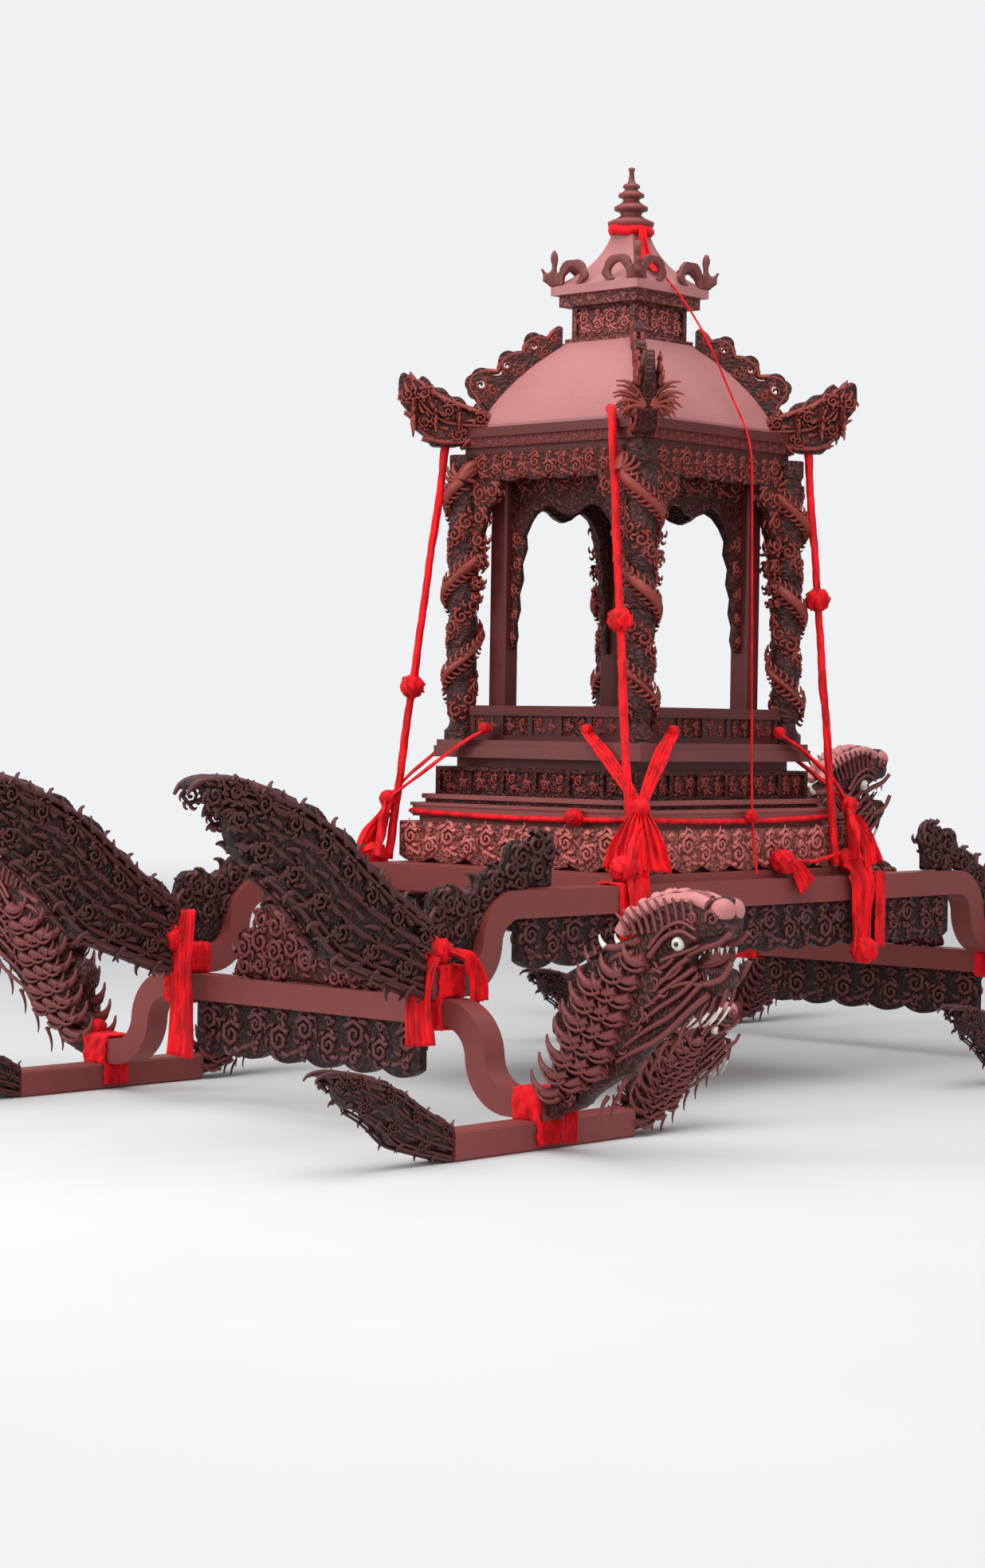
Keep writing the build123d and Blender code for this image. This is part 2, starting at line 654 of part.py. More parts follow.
# Drum, upper roof and finial
drum = block(drum_half, roof_top, drum_height)
drum += block(drum_half + drum_foot_out, roof_top, drum_foot_height)
drum += block(drum_half + drum_cornice_out, drum_top - drum_cornice_height, drum_cornice_height)
panel_low = roof_top + drum_foot_height + drum_panel_margin / 2
panel_high = drum_top - drum_cornice_height - drum_panel_margin / 2
drum_panel = Box(2 * panel_recess, 2 * (drum_half - drum_panel_margin), panel_high - panel_low)
for cut in four_sides(Pos(drum_half, 0, (panel_low + panel_high) / 2) * drum_panel):
    drum -= cut
nodes["roof_drum"] = drum
nodes["upper_roof"] = square_dome(
    upper_half, upper_bottom, upper_band, upper_top_half, upper_top, -upper_sagitta)


def on_diagonal(piece, start, low):
    """Piece whose local x runs outwards over the front left corner, and its three turned copies."""
    outwards = Plane((0, 0, low), x_dir=(1, 1, 0), z_dir=(1, -1, 0)).location * Pos(start, 0, 0)
    return four_sides(outwards * piece)


# Corner dragons scribed round the corners of the main roof, and scroll crests up its hips
corner_board = board(closed_outline(corner_outline, corner_length, corner_rise), corner_width)
corner_start = cornice_half * sqrt(2) - corner_reach_in
corners = [
    piece - outer - nodes["eave_cornice"]
    for piece in on_diagonal(corner_board, corner_start, roof_bottom - corner_below_roof)]
nodes["roof_corners"] = Compound(corners)
hip_run = (roof_half - roof_top_half) * sqrt(2)
hip_face = closed_outline(hip_outline, hip_run, roof_rise)
for along, up, radius in hip_holes:
    hip_face -= Pos(along * hip_run, up * roof_rise) * Circle(radius * hip_run)
nodes["hip_crests"] = Compound([
    piece - outer - corner for piece, corner in zip(
        on_diagonal(board(hip_face, hip_width), roof_top_half * sqrt(2), roof_bottom), corners)])

# A spire over each corner of the upper roof, with a curl along the eave to each side of it
spire = board(closed_outline(spire_outline, upper_corner_length, upper_corner_rise), upper_corner_width)
curl_face = Pos(-upper_half + upper_corner_width, upper_bottom + upper_band) * closed_outline(
    curl_outline, upper_curl_length, upper_curl_rise)
curl_pair = curl_face + mirror(curl_face, about=Plane.YZ)
curls = board(end_plane(upper_half - upper_curl_width / 2) * curl_pair, upper_curl_width)
spires = on_diagonal(
    spire, upper_half * sqrt(2) - upper_corner_length / 2, upper_bottom + upper_band)
nodes["upper_corners"] = Compound([
    solid for piece in spires + four_sides(curls) for solid in (piece - nodes["upper_roof"]).solids()])

finial = None
low = upper_top
for radius, height in finial_rings:
    ring = Pos(0, 0, low + height / 2) * Cone(radius, radius * finial_ring_taper, height)
    ring = fillet(ring.edges().filter_by(GeomType.CIRCLE), height * finial_ring_round)
    finial = ring if finial is None else finial + ring
    low += height
finial += Pos(0, 0, low + finial_shaft_height / 2) * Cylinder(finial_shaft_radius, finial_shaft_height)
finial += Pos(0, 0, low + finial_shaft_height - finial_knob_radius + finial_knob_reach) * Sphere(
    finial_knob_radius)
nodes["finial"] = finial

# Sashes from the cornice down to the main beams: a taut roll of cloth with a rosette, and a knot below
sash_head_out = cornice_half + sash_radius + sash_clearance
sash_head_level = column_top + sash_head_up
sash_foot_out = main_y + sash_past_beam
sash_pieces = []
for end_sign, side_sign, head_inset, foot_along, rosette_height in sashes:
    head = Vector(end_sign * sash_head_out, side_sign * (sash_head_out - head_inset), sash_head_level)
    foot = Vector(end_sign * (sash_foot_out + foot_along), side_sign * sash_foot_out, beam_top)
    way = head - foot
    line = Plane(foot, z_dir=way)
    stretch = way.length / way.Z
    knot_at = (sash_knot_radius + soft_gap) * stretch
    roll = line * Pos(0, 0, (knot_at + way.length) / 2) * Cylinder(sash_radius, way.length - knot_at)
    rosette = line * Pos(0, 0, rosette_height * stretch) * Sphere(sash_rosette_radius)
    knot = line * Pos(0, 0, knot_at) * Sphere(sash_knot_radius)
    sash_pieces.append(roll + rosette + knot)
carriers = [nodes[name] for name in ("base_skirt", "deck_boards", "deck_rails")]
nodes["corner_sashes"] = Compound([
    piece - carriers[0] - carriers[1] - carriers[2] for piece in sash_pieces])

# Bands of cloth round the main beams and the boards below them
band_x = rail_x + band_past_rail
band_half = main_width / 2 + soft_gap
band_low = main_high - main_board_drop - soft_gap
band_high = beam_top + soft_gap
bands = []
for x in (band_x, -band_x):
    for y in (main_y, -main_y):
        middle, depth = (band_low + band_high) / 2, band_high - band_low
        outer_band = Pos(x, y, middle) * Box(
            band_width, 2 * (band_half + band_thickness), depth + 2 * band_thickness)
        bands.append(outer_band - Pos(x, y, middle) * Box(2 * band_width, 2 * band_half, depth))
nodes["beam_bands"] = Compound(bands)

# The origin lies below the middle of the whole length
centre_shift = -Compound(list(nodes.values())).bounding_box().center().X
os.makedirs("parts", exist_ok=True)
for name, piece in nodes.items():
    export_step(Pos(centre_shift, 0, 0) * piece, f"parts/{name}.step")
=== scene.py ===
import math
from math import cos, pi, radians, sin

import bmesh
import bpy
import numpy as np
from mathutils import Matrix, Vector


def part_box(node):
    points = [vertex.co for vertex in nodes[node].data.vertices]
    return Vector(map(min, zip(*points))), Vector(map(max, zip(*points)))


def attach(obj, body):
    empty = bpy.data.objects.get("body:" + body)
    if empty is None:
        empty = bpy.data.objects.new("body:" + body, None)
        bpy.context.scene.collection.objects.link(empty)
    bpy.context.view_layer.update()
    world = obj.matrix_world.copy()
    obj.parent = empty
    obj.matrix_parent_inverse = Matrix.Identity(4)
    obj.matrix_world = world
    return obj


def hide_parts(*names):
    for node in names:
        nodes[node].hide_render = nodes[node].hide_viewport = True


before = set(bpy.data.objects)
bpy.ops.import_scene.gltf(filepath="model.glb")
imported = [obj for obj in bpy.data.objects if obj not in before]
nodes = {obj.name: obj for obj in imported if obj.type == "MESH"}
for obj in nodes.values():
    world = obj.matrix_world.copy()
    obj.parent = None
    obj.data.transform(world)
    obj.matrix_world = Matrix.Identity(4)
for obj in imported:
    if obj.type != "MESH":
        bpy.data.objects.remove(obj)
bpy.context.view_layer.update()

# The pavilion stands a little in front of the origin, because the tails are longer than the heads
drum_low, drum_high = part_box("roof_drum")
pavilion_x = (drum_low[0] + drum_high[0]) / 2

# Camera, as an angle round the pavilion, a distance and an eye height
view_turn = radians(42.424)
view_distance = 9.0794
view_aside = 0.39
eye_height = 1.065
view_dip = radians(1.153)
view_roll = radians(-0.856)
focal_pixels = 3786.1
image_height = 1968
sensor_height = 36.0

aside_axis = Vector((sin(view_turn), -cos(view_turn), 0))
ahead_axis = Vector((cos(view_turn), sin(view_turn), 0))
up_axis = Vector((0, 0, 1))
tipped_up = cos(view_dip) * up_axis + sin(view_dip) * ahead_axis
camera_ahead = cos(view_dip) * ahead_axis - sin(view_dip) * up_axis
camera_aside = cos(view_roll) * aside_axis - sin(view_roll) * tipped_up
camera_up = sin(view_roll) * aside_axis + cos(view_roll) * tipped_up
camera_place = Vector((pavilion_x, 0, eye_height)) - view_aside * aside_axis - view_distance * ahead_axis
camera_data = bpy.data.cameras.new("camera")
camera_data.sensor_fit = "VERTICAL"
camera_data.sensor_height = sensor_height
camera_data.lens = focal_pixels / image_height * sensor_height
camera_data.clip_end = 100
camera = bpy.data.objects.new("camera", camera_data)
camera_turn = Matrix((camera_aside, camera_up, -camera_ahead)).transposed().to_4x4()
camera.matrix_world = Matrix.Translation(camera_place) @ camera_turn
bpy.context.scene.collection.objects.link(camera)
bpy.context.scene.camera = camera
bpy.context.scene.view_settings.view_transform = "Standard"


# Shader maths

class Field:
    """A value that changes over a surface, so that shader maths reads as a plain expression."""

    def __init__(self, graph, socket):
        self.graph, self.socket = graph, socket

    def math(self, operation, *values):
        return self.graph.node("ShaderNodeMath", {"operation": operation}, dict(enumerate(values)))

    def __add__(self, other):
        return self.math("ADD", self, other)

    def __radd__(self, other):
        return self.math("ADD", other, self)

    def __sub__(self, other):
        return self.math("SUBTRACT", self, other)

    def __rsub__(self, other):
        return self.math("SUBTRACT", other, self)

    def __mul__(self, other):
        return self.math("MULTIPLY", self, other)

    def __rmul__(self, other):
        return self.math("MULTIPLY", other, self)

    def ramp(self, low, high):
        """0 below low, 1 above high, smooth between them."""
        inputs = {"Value": self, "From Min": low, "From Max": high}
        return self.graph.node("ShaderNodeMapRange", {"interpolation_type": "SMOOTHSTEP"}, inputs)


class Graph:
    """Node tree of a material or a world: every node that is added comes from the one method, node."""

    def __init__(self, owner):
        owner.use_nodes = True
        self.tree = owner.node_tree

    def node(self, kind, settings=None, inputs=None, output=0):
        """One output of a new node: its settings are made first, then its sockets are filled or linked."""
        made = self.tree.nodes.new(kind)
        for name, value in (settings or {}).items():
            setattr(made, name, value)
        for name, value in (inputs or {}).items():
            if isinstance(value, Field):
                self.tree.links.new(value.socket, made.inputs[name])
            else:
                made.inputs[name].default_value = value
        return Field(self, made.outputs[output])

    def mixed(self, amount, first, second, end):
        """Mixes two shaders and shows the result on the tree's output node."""
        mix = self.node("ShaderNodeMixShader", {}, {0: amount, 1: first, 2: second})
        self.tree.links.new(mix.socket, self.tree.nodes[end].inputs["Surface"])


class Finish(Graph):
    """A material under construction, with what is the same all over the surface set on its shader."""

    def __init__(self, name, **constants):
        self.material = bpy.data.materials.new(name)
        super().__init__(self.material)
        self.surface = self.tree.nodes["Principled BSDF"]
        for socket, value in constants.items():
            self.surface.inputs[socket.replace("_", " ")].default_value = value

    def blend(self, amount, first, second):
        """Colour between two colours, each a Field or an RGB tuple."""
        inputs = {0: amount, 6: opaque(first), 7: opaque(second)}
        return self.node("ShaderNodeMix", {"data_type": "RGBA"}, inputs, 2)

    def place(self, stretch=(1, 1, 1)):
        """Object coordinates, stretched."""
        coordinates = self.node("ShaderNodeTexCoord", output="Object")
        return self.node("ShaderNodeMapping", {}, {"Vector": coordinates, "Scale": stretch})

    def noise(self, scale, detail, stretch=(1, 1, 1)):
        inputs = {"Vector": self.place(stretch), "Scale": scale, "Detail": detail, "Roughness": 0.55}
        return self.node("ShaderNodeTexNoise", {}, inputs)

    def openness(self, reach):
        """1 in the open, down to 0 deep in a hollow."""
        settings = {"samples": 6, "only_local": True}
        return self.node("ShaderNodeAmbientOcclusion", settings, {"Distance": reach}, "AO")

    def edges(self):
        """Above 0.5 on an outer edge, below it in a crease."""
        return self.node("ShaderNodeNewGeometry", output="Pointiness")

    def bump(self, height, distance, strength, below=None):
        inputs = {"Height": height, "Distance": distance, "Strength": strength}
        if below is not None:
            inputs["Normal"] = below
        return self.node("ShaderNodeBump", {}, inputs)

    def set(self, **fields):
        """Links what changes over the surface, and gives the finished material."""
        for socket, field in fields.items():
            self.tree.links.new(field.socket, self.surface.inputs[socket.replace("_", " ")])
        return self.material


def opaque(colour):
    return colour if isinstance(colour, Field) else (*colour, 1.0)


def tone(colour, factor):
    return tuple(channel * factor for channel in colour)


def lacquered(name, colour, gloss, coat):
    """Smooth lacquered wood: faint lengthwise grain, brushed tone and a painted highlight on its outer edges.
    """
    finish = Finish(name, Coat_Roughness=0.24, Specular_IOR_Level=0.32, Coat_Weight=coat)
    grain = finish.noise(9.0, 6.0, (1.0, 1.0, 9.0))
    cloud = finish.noise(2.6, 5.0)
    fleck = finish.noise(160.0, 2.0)
    edge = finish.edges().ramp(0.505, 0.56)
    base = finish.blend(cloud.ramp(0.34, 0.68), tone(colour, 0.74), tone(colour, 1.2))
    base = finish.blend(grain.ramp(0.5, 0.8) * 0.45, base, tone(colour, 0.5))
    # Painted highlight: outer edges lightened to 1.9 times the colour
    base = finish.blend(edge * 0.5, base, tone(colour, 1.9))
    base = finish.blend(fleck.ramp(0.62, 0.8) * 0.3, base, tone(colour, 0.45))
    rough = cloud * 0.22 + (gloss - 0.06) + edge * 0.12
    normal = finish.bump(grain, 0.0009, 0.5)
    normal = finish.bump(fleck, 0.0004, 0.35, normal)
    return finish.set(Base_Color=base, Roughness=rough, Normal=normal)


def carved(name, colour, lift=1.9):
    """Carved wood: painted shade in the hollows, painted highlight on its outer edges and open surfaces, with
    fine tool marks.
    """
    finish = Finish(name, Coat_Roughness=0.25, Specular_IOR_Level=0.26, Coat_Weight=0.07)
    cloud = finish.noise(5.0, 5.0)
    marks = finish.noise(150.0, 3.0, (1.0, 1.0, 0.6))
    air = finish.openness(0.035)
    base = finish.blend(cloud.ramp(0.3, 0.7), tone(colour, 0.8), tone(colour, 1.25))
    # Painted highlight on outer edges
    base = finish.blend(finish.edges().ramp(0.5, 0.58) * 0.7, base, tone(colour, lift))
    # Painted light where the surface is open, from ambient occlusion
    base = finish.blend(air.ramp(0.72, 1.0) * 0.3, base, tone(colour, lift))
    # Painted shade in the hollows, from ambient occlusion
    base = finish.blend(1 - air.ramp(0.25, 0.75), base, tone(colour, 0.16))
    base = finish.blend(marks.ramp(0.6, 0.8) * 0.35, base, tone(colour, 0.5))
    normal = finish.bump(marks, 0.0012, 0.5)
    return finish.set(Base_Color=base, Roughness=cloud * 0.2 + 0.36, Normal=normal)


def tooled(name, colour, cell, depth, lift=2.3):
    """Carved wood whose ground is cut in small curls and scales, each about a cell across, with painted
    highlight on the curls and painted shade between the scales and in the hollows.
    """
    finish = Finish(name, Coat_Roughness=0.25, Specular_IOR_Level=0.25, Coat_Weight=0.06)
    cloud = finish.noise(5.0, 5.0)
    scale_inputs = {"Vector": finish.place(), "Scale": 1 / cell, "Randomness": 1.0}
    scales = finish.node("ShaderNodeTexVoronoi", {"feature": "F1"}, scale_inputs, "Distance")
    curl_settings = {"wave_type": "RINGS", "rings_direction": "SPHERICAL"}
    curls = finish.node("ShaderNodeTexWave", curl_settings, {
        "Vector": finish.place(), "Scale": 0.22 / cell, "Distortion": 16.0, "Detail": 1.5,
        "Detail Scale": 1.6})
    air = finish.openness(0.04)
    base = finish.blend(cloud.ramp(0.3, 0.7), tone(colour, 0.7), tone(colour, 1.1))
    # Painted highlight on the raised curls
    base = finish.blend(curls.ramp(0.35, 0.85) * 0.8, base, tone(colour, lift))
    # Painted shade in the grooves between the scales
    base = finish.blend(scales.ramp(0.35, 0.75) * 0.8, base, tone(colour, 0.22))
    # Painted shade in the hollows, from ambient occlusion
    base = finish.blend(1 - air.ramp(0.25, 0.75), base, tone(colour, 0.16))
    normal = finish.bump(1 - scales, depth, 0.7)
    normal = finish.bump(curls, depth * 2.0, 0.8, normal)
    return finish.set(Base_Color=base, Roughness=cloud * 0.2 + 0.38, Normal=normal)


def painted(name, colour):
    """Paint of eyes and teeth, darker in patches."""
    finish = Finish(name, Roughness=0.3, Coat_Weight=0.4)
    cloud = finish.noise(90.0, 3.0)
    base = finish.blend(cloud.ramp(0.4, 0.7), colour, tone(colour, 0.72))
    return finish.set(Base_Color=base, Normal=finish.bump(cloud, 0.0006, 0.4))


def satin(name, colour):
    """Thin satin cotton: plain weave, soft folds and a pale sheen."""
    finish = Finish(name, Sheen_Weight=0.12, Sheen_Roughness=0.4, Sheen_Tint=(1.0, 0.45, 0.45, 1.0),
                    Specular_IOR_Level=0.2)
    weave = []
    for way in ("Z", "DIAGONAL"):
        thread = {"Vector": finish.place(), "Scale": 210.0, "Distortion": 1.2, "Detail": 1.0}
        weave.append(finish.node("ShaderNodeTexWave", {"bands_direction": way}, thread))
    folds = finish.noise(26.0, 4.0, (1.4, 1.4, 0.45))
    # Painted shade in the hollows of the folds and painted light on their crests, following the folds' bump
    base = finish.blend(folds.ramp(0.32, 0.7), tone(colour, 0.5), tone(colour, 1.25))
    base = finish.blend(weave[0] * 0.18, base, tone(colour, 0.7))
    normal = finish.bump(weave[0] + weave[1], 0.0004, 0.5)
    normal = finish.bump(folds, 0.006, 0.6, normal)
    return finish.set(Base_Color=base, Roughness=folds * 0.2 + 0.5, Normal=normal)


roof_colour = (0.270, 0.104, 0.100)
beam_colour = (0.150, 0.030, 0.026)
frame_colour = (0.066, 0.010, 0.009)
base_colour = (0.175, 0.046, 0.042)
carving_colour = (0.150, 0.024, 0.018)
bright_colour = (0.315, 0.082, 0.070)
dragon_colour = (0.112, 0.027, 0.025)
# Lighter copy of the dragon wood for brow ridges and nose beads: painted highlight
highlit_colour = (0.430, 0.155, 0.150)
tail_colour = (0.044, 0.013, 0.013)
board_colour = (0.070, 0.022, 0.021)
ivory_colour = (0.78, 0.70, 0.62)
pupil_colour = (0.012, 0.008, 0.008)
cloth_colour = (0.88, 0.004, 0.012)

# Each finish: its material, and the slot of the record that it belongs to
finishes = {
    "roof": (lacquered("roof lacquer", roof_colour, gloss=0.34, coat=0.12), "roof_lacquer"),
    "beam": (lacquered("beam lacquer", beam_colour, gloss=0.36, coat=0.10), "beam_wood"),
    "joinery": (lacquered("joinery lacquer", frame_colour, gloss=0.38, coat=0.08), "carved_wood"),
    "base": (lacquered("base lacquer", base_colour, gloss=0.36, coat=0.10), "carved_wood"),
    "slab": (lacquered("slab lacquer", tone(base_colour, 0.62), gloss=0.36, coat=0.10), "carved_wood"),
    "ground": (tooled("tooled ground", tone(carving_colour, 0.38), 0.012, 0.0018), "carved_wood"),
    "bright ground": (
        tooled("tooled bright ground", tone(bright_colour, 0.50), 0.012, 0.0018), "carved_wood"),
    "pale ground": (
        tooled("tooled pale ground", tone(bright_colour, 0.75), 0.012, 0.0018, 1.8), "carved_wood"),
    "dark ground": (tooled("tooled dark ground", tone(tail_colour, 0.60), 0.013, 0.0022), "dark_wood"),
    "carving": (carved("carved wood", carving_colour), "carved_wood"),
    "bright carving": (carved("bright carved wood", bright_colour), "carved_wood"),
    "scales": (tooled("dragon scales", tone(dragon_colour, 0.50), 0.012, 0.002), "dragon_wood"),
    "dragon": (carved("dragon wood", dragon_colour), "dragon_wood"),
    # Painted highlight: lighter dragon wood for brow ridges and beads
    "highlit": (carved("rubbed wood", highlit_colour, 1.35), "dragon_wood"),
    "tail": (carved("dark dragon wood", tail_colour, 2.3), "dark_wood"),
    "board carving": (carved("board wood", board_colour, 2.2), "dark_wood"),
    "ivory": (painted("painted ivory", ivory_colour), "dragon_wood"),
    "pupil": (painted("painted pupil", pupil_colour), "dragon_wood"),
    "cloth": (satin("red cloth", cloth_colour), "red_cloth"),
}

# Finish of the CAD nodes, by how their names start; the others are tooled ground
node_finishes = {
    "roof": ("main_roof", "upper_roof"),
    "beam": ("main_beam", "cross_beam", "pole_front", "pole_rear", "deck"),
    "scales": ("cross_head", "main_head", "pole_head", "cross_crests", "dragon_column"),
    "dark ground": ("main_tail", "pole_tail", "main_board", "cross_board", "beam_flames"),
    "base": ("base_step",),
    "slab": ("floor_slab",),
    "pale ground": ("base_skirt",),
    "bright ground": ("roof_drum",),
    "joinery": ("inner_posts", "eave_cornice", "balustrades"),
    "cloth": ("beam_lashings", "pole_lashings", "beam_bands", "corner_sashes"),
}
for name, node in nodes.items():
    found = [finish for finish, starts in node_finishes.items() if name.startswith(starts)]
    node.data.materials.clear()
    node.data.materials.append(finishes[found[0] if found else "ground"][0])


# Floor, backdrop and light

floor_clears_from, floor_gone_at = 3.5, 15.0


def as_mesh(bm, name):
    """Mesh of a finished bmesh, which is freed."""
    mesh = bpy.data.meshes.new(name)
    bm.to_mesh(mesh)
    bm.free()
    return mesh


def stage_floor():
    """Pale floor that clears into the backdrop far from the palanquin."""
    bm = bmesh.new()
    bmesh.ops.create_grid(bm, x_segments=1, y_segments=1, size=40)
    floor = bpy.data.objects.new("floor", as_mesh(bm, "floor"))
    bpy.context.scene.collection.objects.link(floor)
    finish = Finish("floor", Specular_IOR_Level=0.2, Roughness=0.8)
    away = finish.node("ShaderNodeVectorMath", {"operation": "LENGTH"}, {0: finish.place()}, "Value")
    base = finish.blend(finish.noise(0.8, 3.0), (0.60, 0.60, 0.60), (0.66, 0.66, 0.66))
    floor.data.materials.append(finish.set(Base_Color=base))
    seen = Field(finish, finish.surface.outputs[0])
    clear = finish.node("ShaderNodeBsdfTransparent")
    finish.mixed(away.ramp(floor_clears_from, floor_gone_at), seen, clear, "Material Output")


def sky():
    """Dim cool light from all round, and a pale backdrop for the camera."""
    world = bpy.data.worlds.new("sky")
    graph = Graph(world)
    light = graph.node("ShaderNodeBackground", {}, {"Color": (0.86, 0.88, 0.92, 1), "Strength": 0.62})
    backdrop = graph.node("ShaderNodeBackground", {}, {"Color": (0.87, 0.88, 0.90, 1), "Strength": 1.0})
    seen = graph.node("ShaderNodeLightPath", output="Is Camera Ray")
    graph.mixed(seen, light, backdrop, "World Output")
    bpy.context.scene.world = world


def soft_lamp(name, place, size, power):
    """Large lamp that faces the middle of the pavilion."""
    lamp = bpy.data.lights.new(name, "AREA")
    lamp.shape = "RECTANGLE"
    lamp.size, lamp.size_y = size
    lamp.energy = power
    holder = bpy.data.objects.new(name, lamp)
    holder.location = place
    holder.rotation_euler = (Vector((0.0, 0.0, 1.2)) - Vector(place)).to_track_quat("-Z", "Y").to_euler()
    bpy.context.scene.collection.objects.link(holder)


stage_floor()
sky()
soft_lamp("overhead softbox", (-1.5, -1.0, 6.5), (7.0, 7.0), 420)
soft_lamp("left softbox", (-6.5, 2.5, 4.0), (4.0, 4.0), 210)
soft_lamp("camera softbox", (-6.0, -7.0, 3.5), (5.0, 4.0), 150)


# Pieces and strands of carving

def new_piece(name, mesh, finish, replaced=()):
    """Object made of a finished mesh, riding on the palanquin."""
    material, slot = finishes[finish]
    mesh.name = name
    mesh.materials.clear()
    mesh.materials.append(material)
    mesh.shade_smooth()
    piece = bpy.data.objects.new(name, mesh)
    bpy.context.scene.collection.objects.link(piece)
    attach(piece, "root")
    if replaced:
        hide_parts(*replaced)
    return piece


def evaluated(data, *modifiers):
    """Mesh of a mesh or curve with modifiers applied, each given as a type and its settings."""
    helper = bpy.data.objects.new("helper", data)
    bpy.context.scene.collection.objects.link(helper)
    for kind, settings in modifiers:
        modifier = helper.modifiers.new(kind, kind)
        for name, value in settings.items():
            setattr(modifier, name, value)
    graph = bpy.context.evaluated_depsgraph_get()
    result = bpy.data.meshes.new_from_object(helper.evaluated_get(graph))
    bpy.data.objects.remove(helper)
    return result


def merged_copy(name):
    """Mesh of a CAD node, with its loose triangles joined."""
    bm = bmesh.new()
    bm.from_mesh(nodes[name].data)
    bmesh.ops.remove_doubles(bm, verts=bm.verts, dist=1e-5)
    return as_mesh(bm, "copy")


def rounded(mesh, voxel, smooth, *more):
    """Mesh closed into one skin of small faces, with its edges softened and any more modifiers applied."""
    return evaluated(mesh, ("REMESH", {"mode": "VOXEL", "voxel_size": voxel}),
                     ("SMOOTH", {"iterations": smooth, "factor": 0.5}), *more)


def carve_core(name, node, finish, voxel, shrink=0.003, smooth=4):
    """Rounded form of a CAD node, a little slimmer, on which the carved locks lie."""
    slimmer = ("DISPLACE", {"strength": -shrink, "mid_level": 0.0})
    return new_piece(name, rounded(merged_copy(node), voxel, smooth, slimmer), finish, [node])


def add_strands(name, strands, finish, rounding=0):
    """One piece of tapering strands, four-sided or rounder, each a table of x, y, z and radius."""
    curve = bpy.data.curves.new("strands", "CURVE")
    curve.dimensions = "3D"
    curve.bevel_depth = 1.0
    curve.bevel_resolution = rounding
    curve.use_fill_caps = True
    for rows in strands:
        spline = curve.splines.new("POLY")
        spline.points.add(len(rows) - 1)
        spline.points.foreach_set("co", np.insert(rows[:, :3], 3, 1.0, axis=1).ravel())
        spline.points.foreach_set("radius", rows[:, 3])
    return new_piece(name, evaluated(curve), finish)


# Strands on a carving plane are tables of along, up, aside and radius; headings are in degrees

def lock(root, heading, length, bend, thick, aside=0.0, tip=0.25, wind=1.6, points=6):
    """Tapering lock that starts along a heading and bends more and more towards its tip."""
    share = np.linspace(0, 1, points)
    angle = np.radians(heading + bend * share ** wind)
    step = length / (points - 1)
    along = root[0] + np.concatenate(([0.0], np.cumsum(np.cos(angle[1:])))) * step
    up = root[1] + np.concatenate(([0.0], np.cumsum(np.sin(angle[1:])))) * step
    radius = thick * (1 - (1 - tip) * share ** 1.5)
    return np.column_stack((along, up, np.full(points, aside), radius))


def volute(centre, reach, turns, start, thick, aside, points=11):
    """Spiral that winds inwards; a negative number of turns winds clockwise."""
    share = np.linspace(0, 1, points)
    angle = np.radians(start) + 2 * pi * turns * share
    away = reach * (1 - 0.88 * share)
    radius = thick * (1 - 0.35 * share)
    along, up = centre[0] + away * np.cos(angle), centre[1] + away * np.sin(angle)
    return np.column_stack((along, up, np.full(points, aside), radius))


def softened(line):
    """Each inner point of a line drawn halfway towards its neighbours."""
    line[1:-1] = 0.25 * line[:-2] + 0.5 * line[1:-1] + 0.25 * line[2:]


def ridge(route, thick, aside, tip, points):
    """Smooth strand through a few points of along and up."""
    route = np.array(route, dtype=float)
    share = np.linspace(0, 1, len(route))
    fine = np.linspace(0, 1, points)
    line = np.column_stack([np.interp(fine, share, route[:, axis]) for axis in (0, 1)])
    for _ in range(2):
        softened(line)
    return np.column_stack((line, np.full(points, aside), thick * (1 - (1 - tip) * fine)))


def whorl(centre, reach, hand, thick, aside, start=90.0, turns=1.5, leaves=4):
    """Volute with leaves that curl off its outside all round."""
    strands = [volute(centre, reach, hand * turns, start, thick, aside)]
    for i in range(leaves):
        angle = start + hand * (30 + 290 * i / leaves)
        root = (centre[0] + reach * cos(radians(angle)), centre[1] + reach * sin(radians(angle)))
        strands.append(lock(root, angle + hand * 35, reach * 0.95, hand * 95, thick * 0.9, aside, points=5))
    return strands


class Plate:
    """Upright carving plane: its foot, and the level direction that lengths run in."""

    def __init__(self, foot, along):
        self.foot = np.array(foot, dtype=float)
        self.along = np.array((along[0], along[1], 0.0)) / math.hypot(*along)
        self.aside = np.array((-self.along[1], self.along[0], 0.0))

    def point(self, along, up, aside):
        return self.foot + self.along * along + self.aside * aside + np.array((0.0, 0.0, up))

    def face(self, strands, side=1):
        """Strands on one face, placed on the palanquin and kept above the floor."""
        placed = []
        for rows in strands:
            at = self.foot + np.outer(rows[:, 0], self.along) + np.outer(rows[:, 2] * side, self.aside)
            at[:, 2] = np.maximum(at[:, 2] + rows[:, 1], rows[:, 3])
            placed.append(np.column_stack((at, rows[:, 3])))
        return placed

    def both(self, strands):
        return self.face(strands, 1) + self.face(strands, -1)


def on_edge(edge, share):
    """Point at a share of an edge's length."""
    edge = np.array(edge, dtype=float)
    travel = np.concatenate(([0.0], np.cumsum(np.hypot(*np.diff(edge, axis=0).T))))
    return np.array([np.interp(share * travel[-1], travel, edge[:, axis]) for axis in (0, 1)])


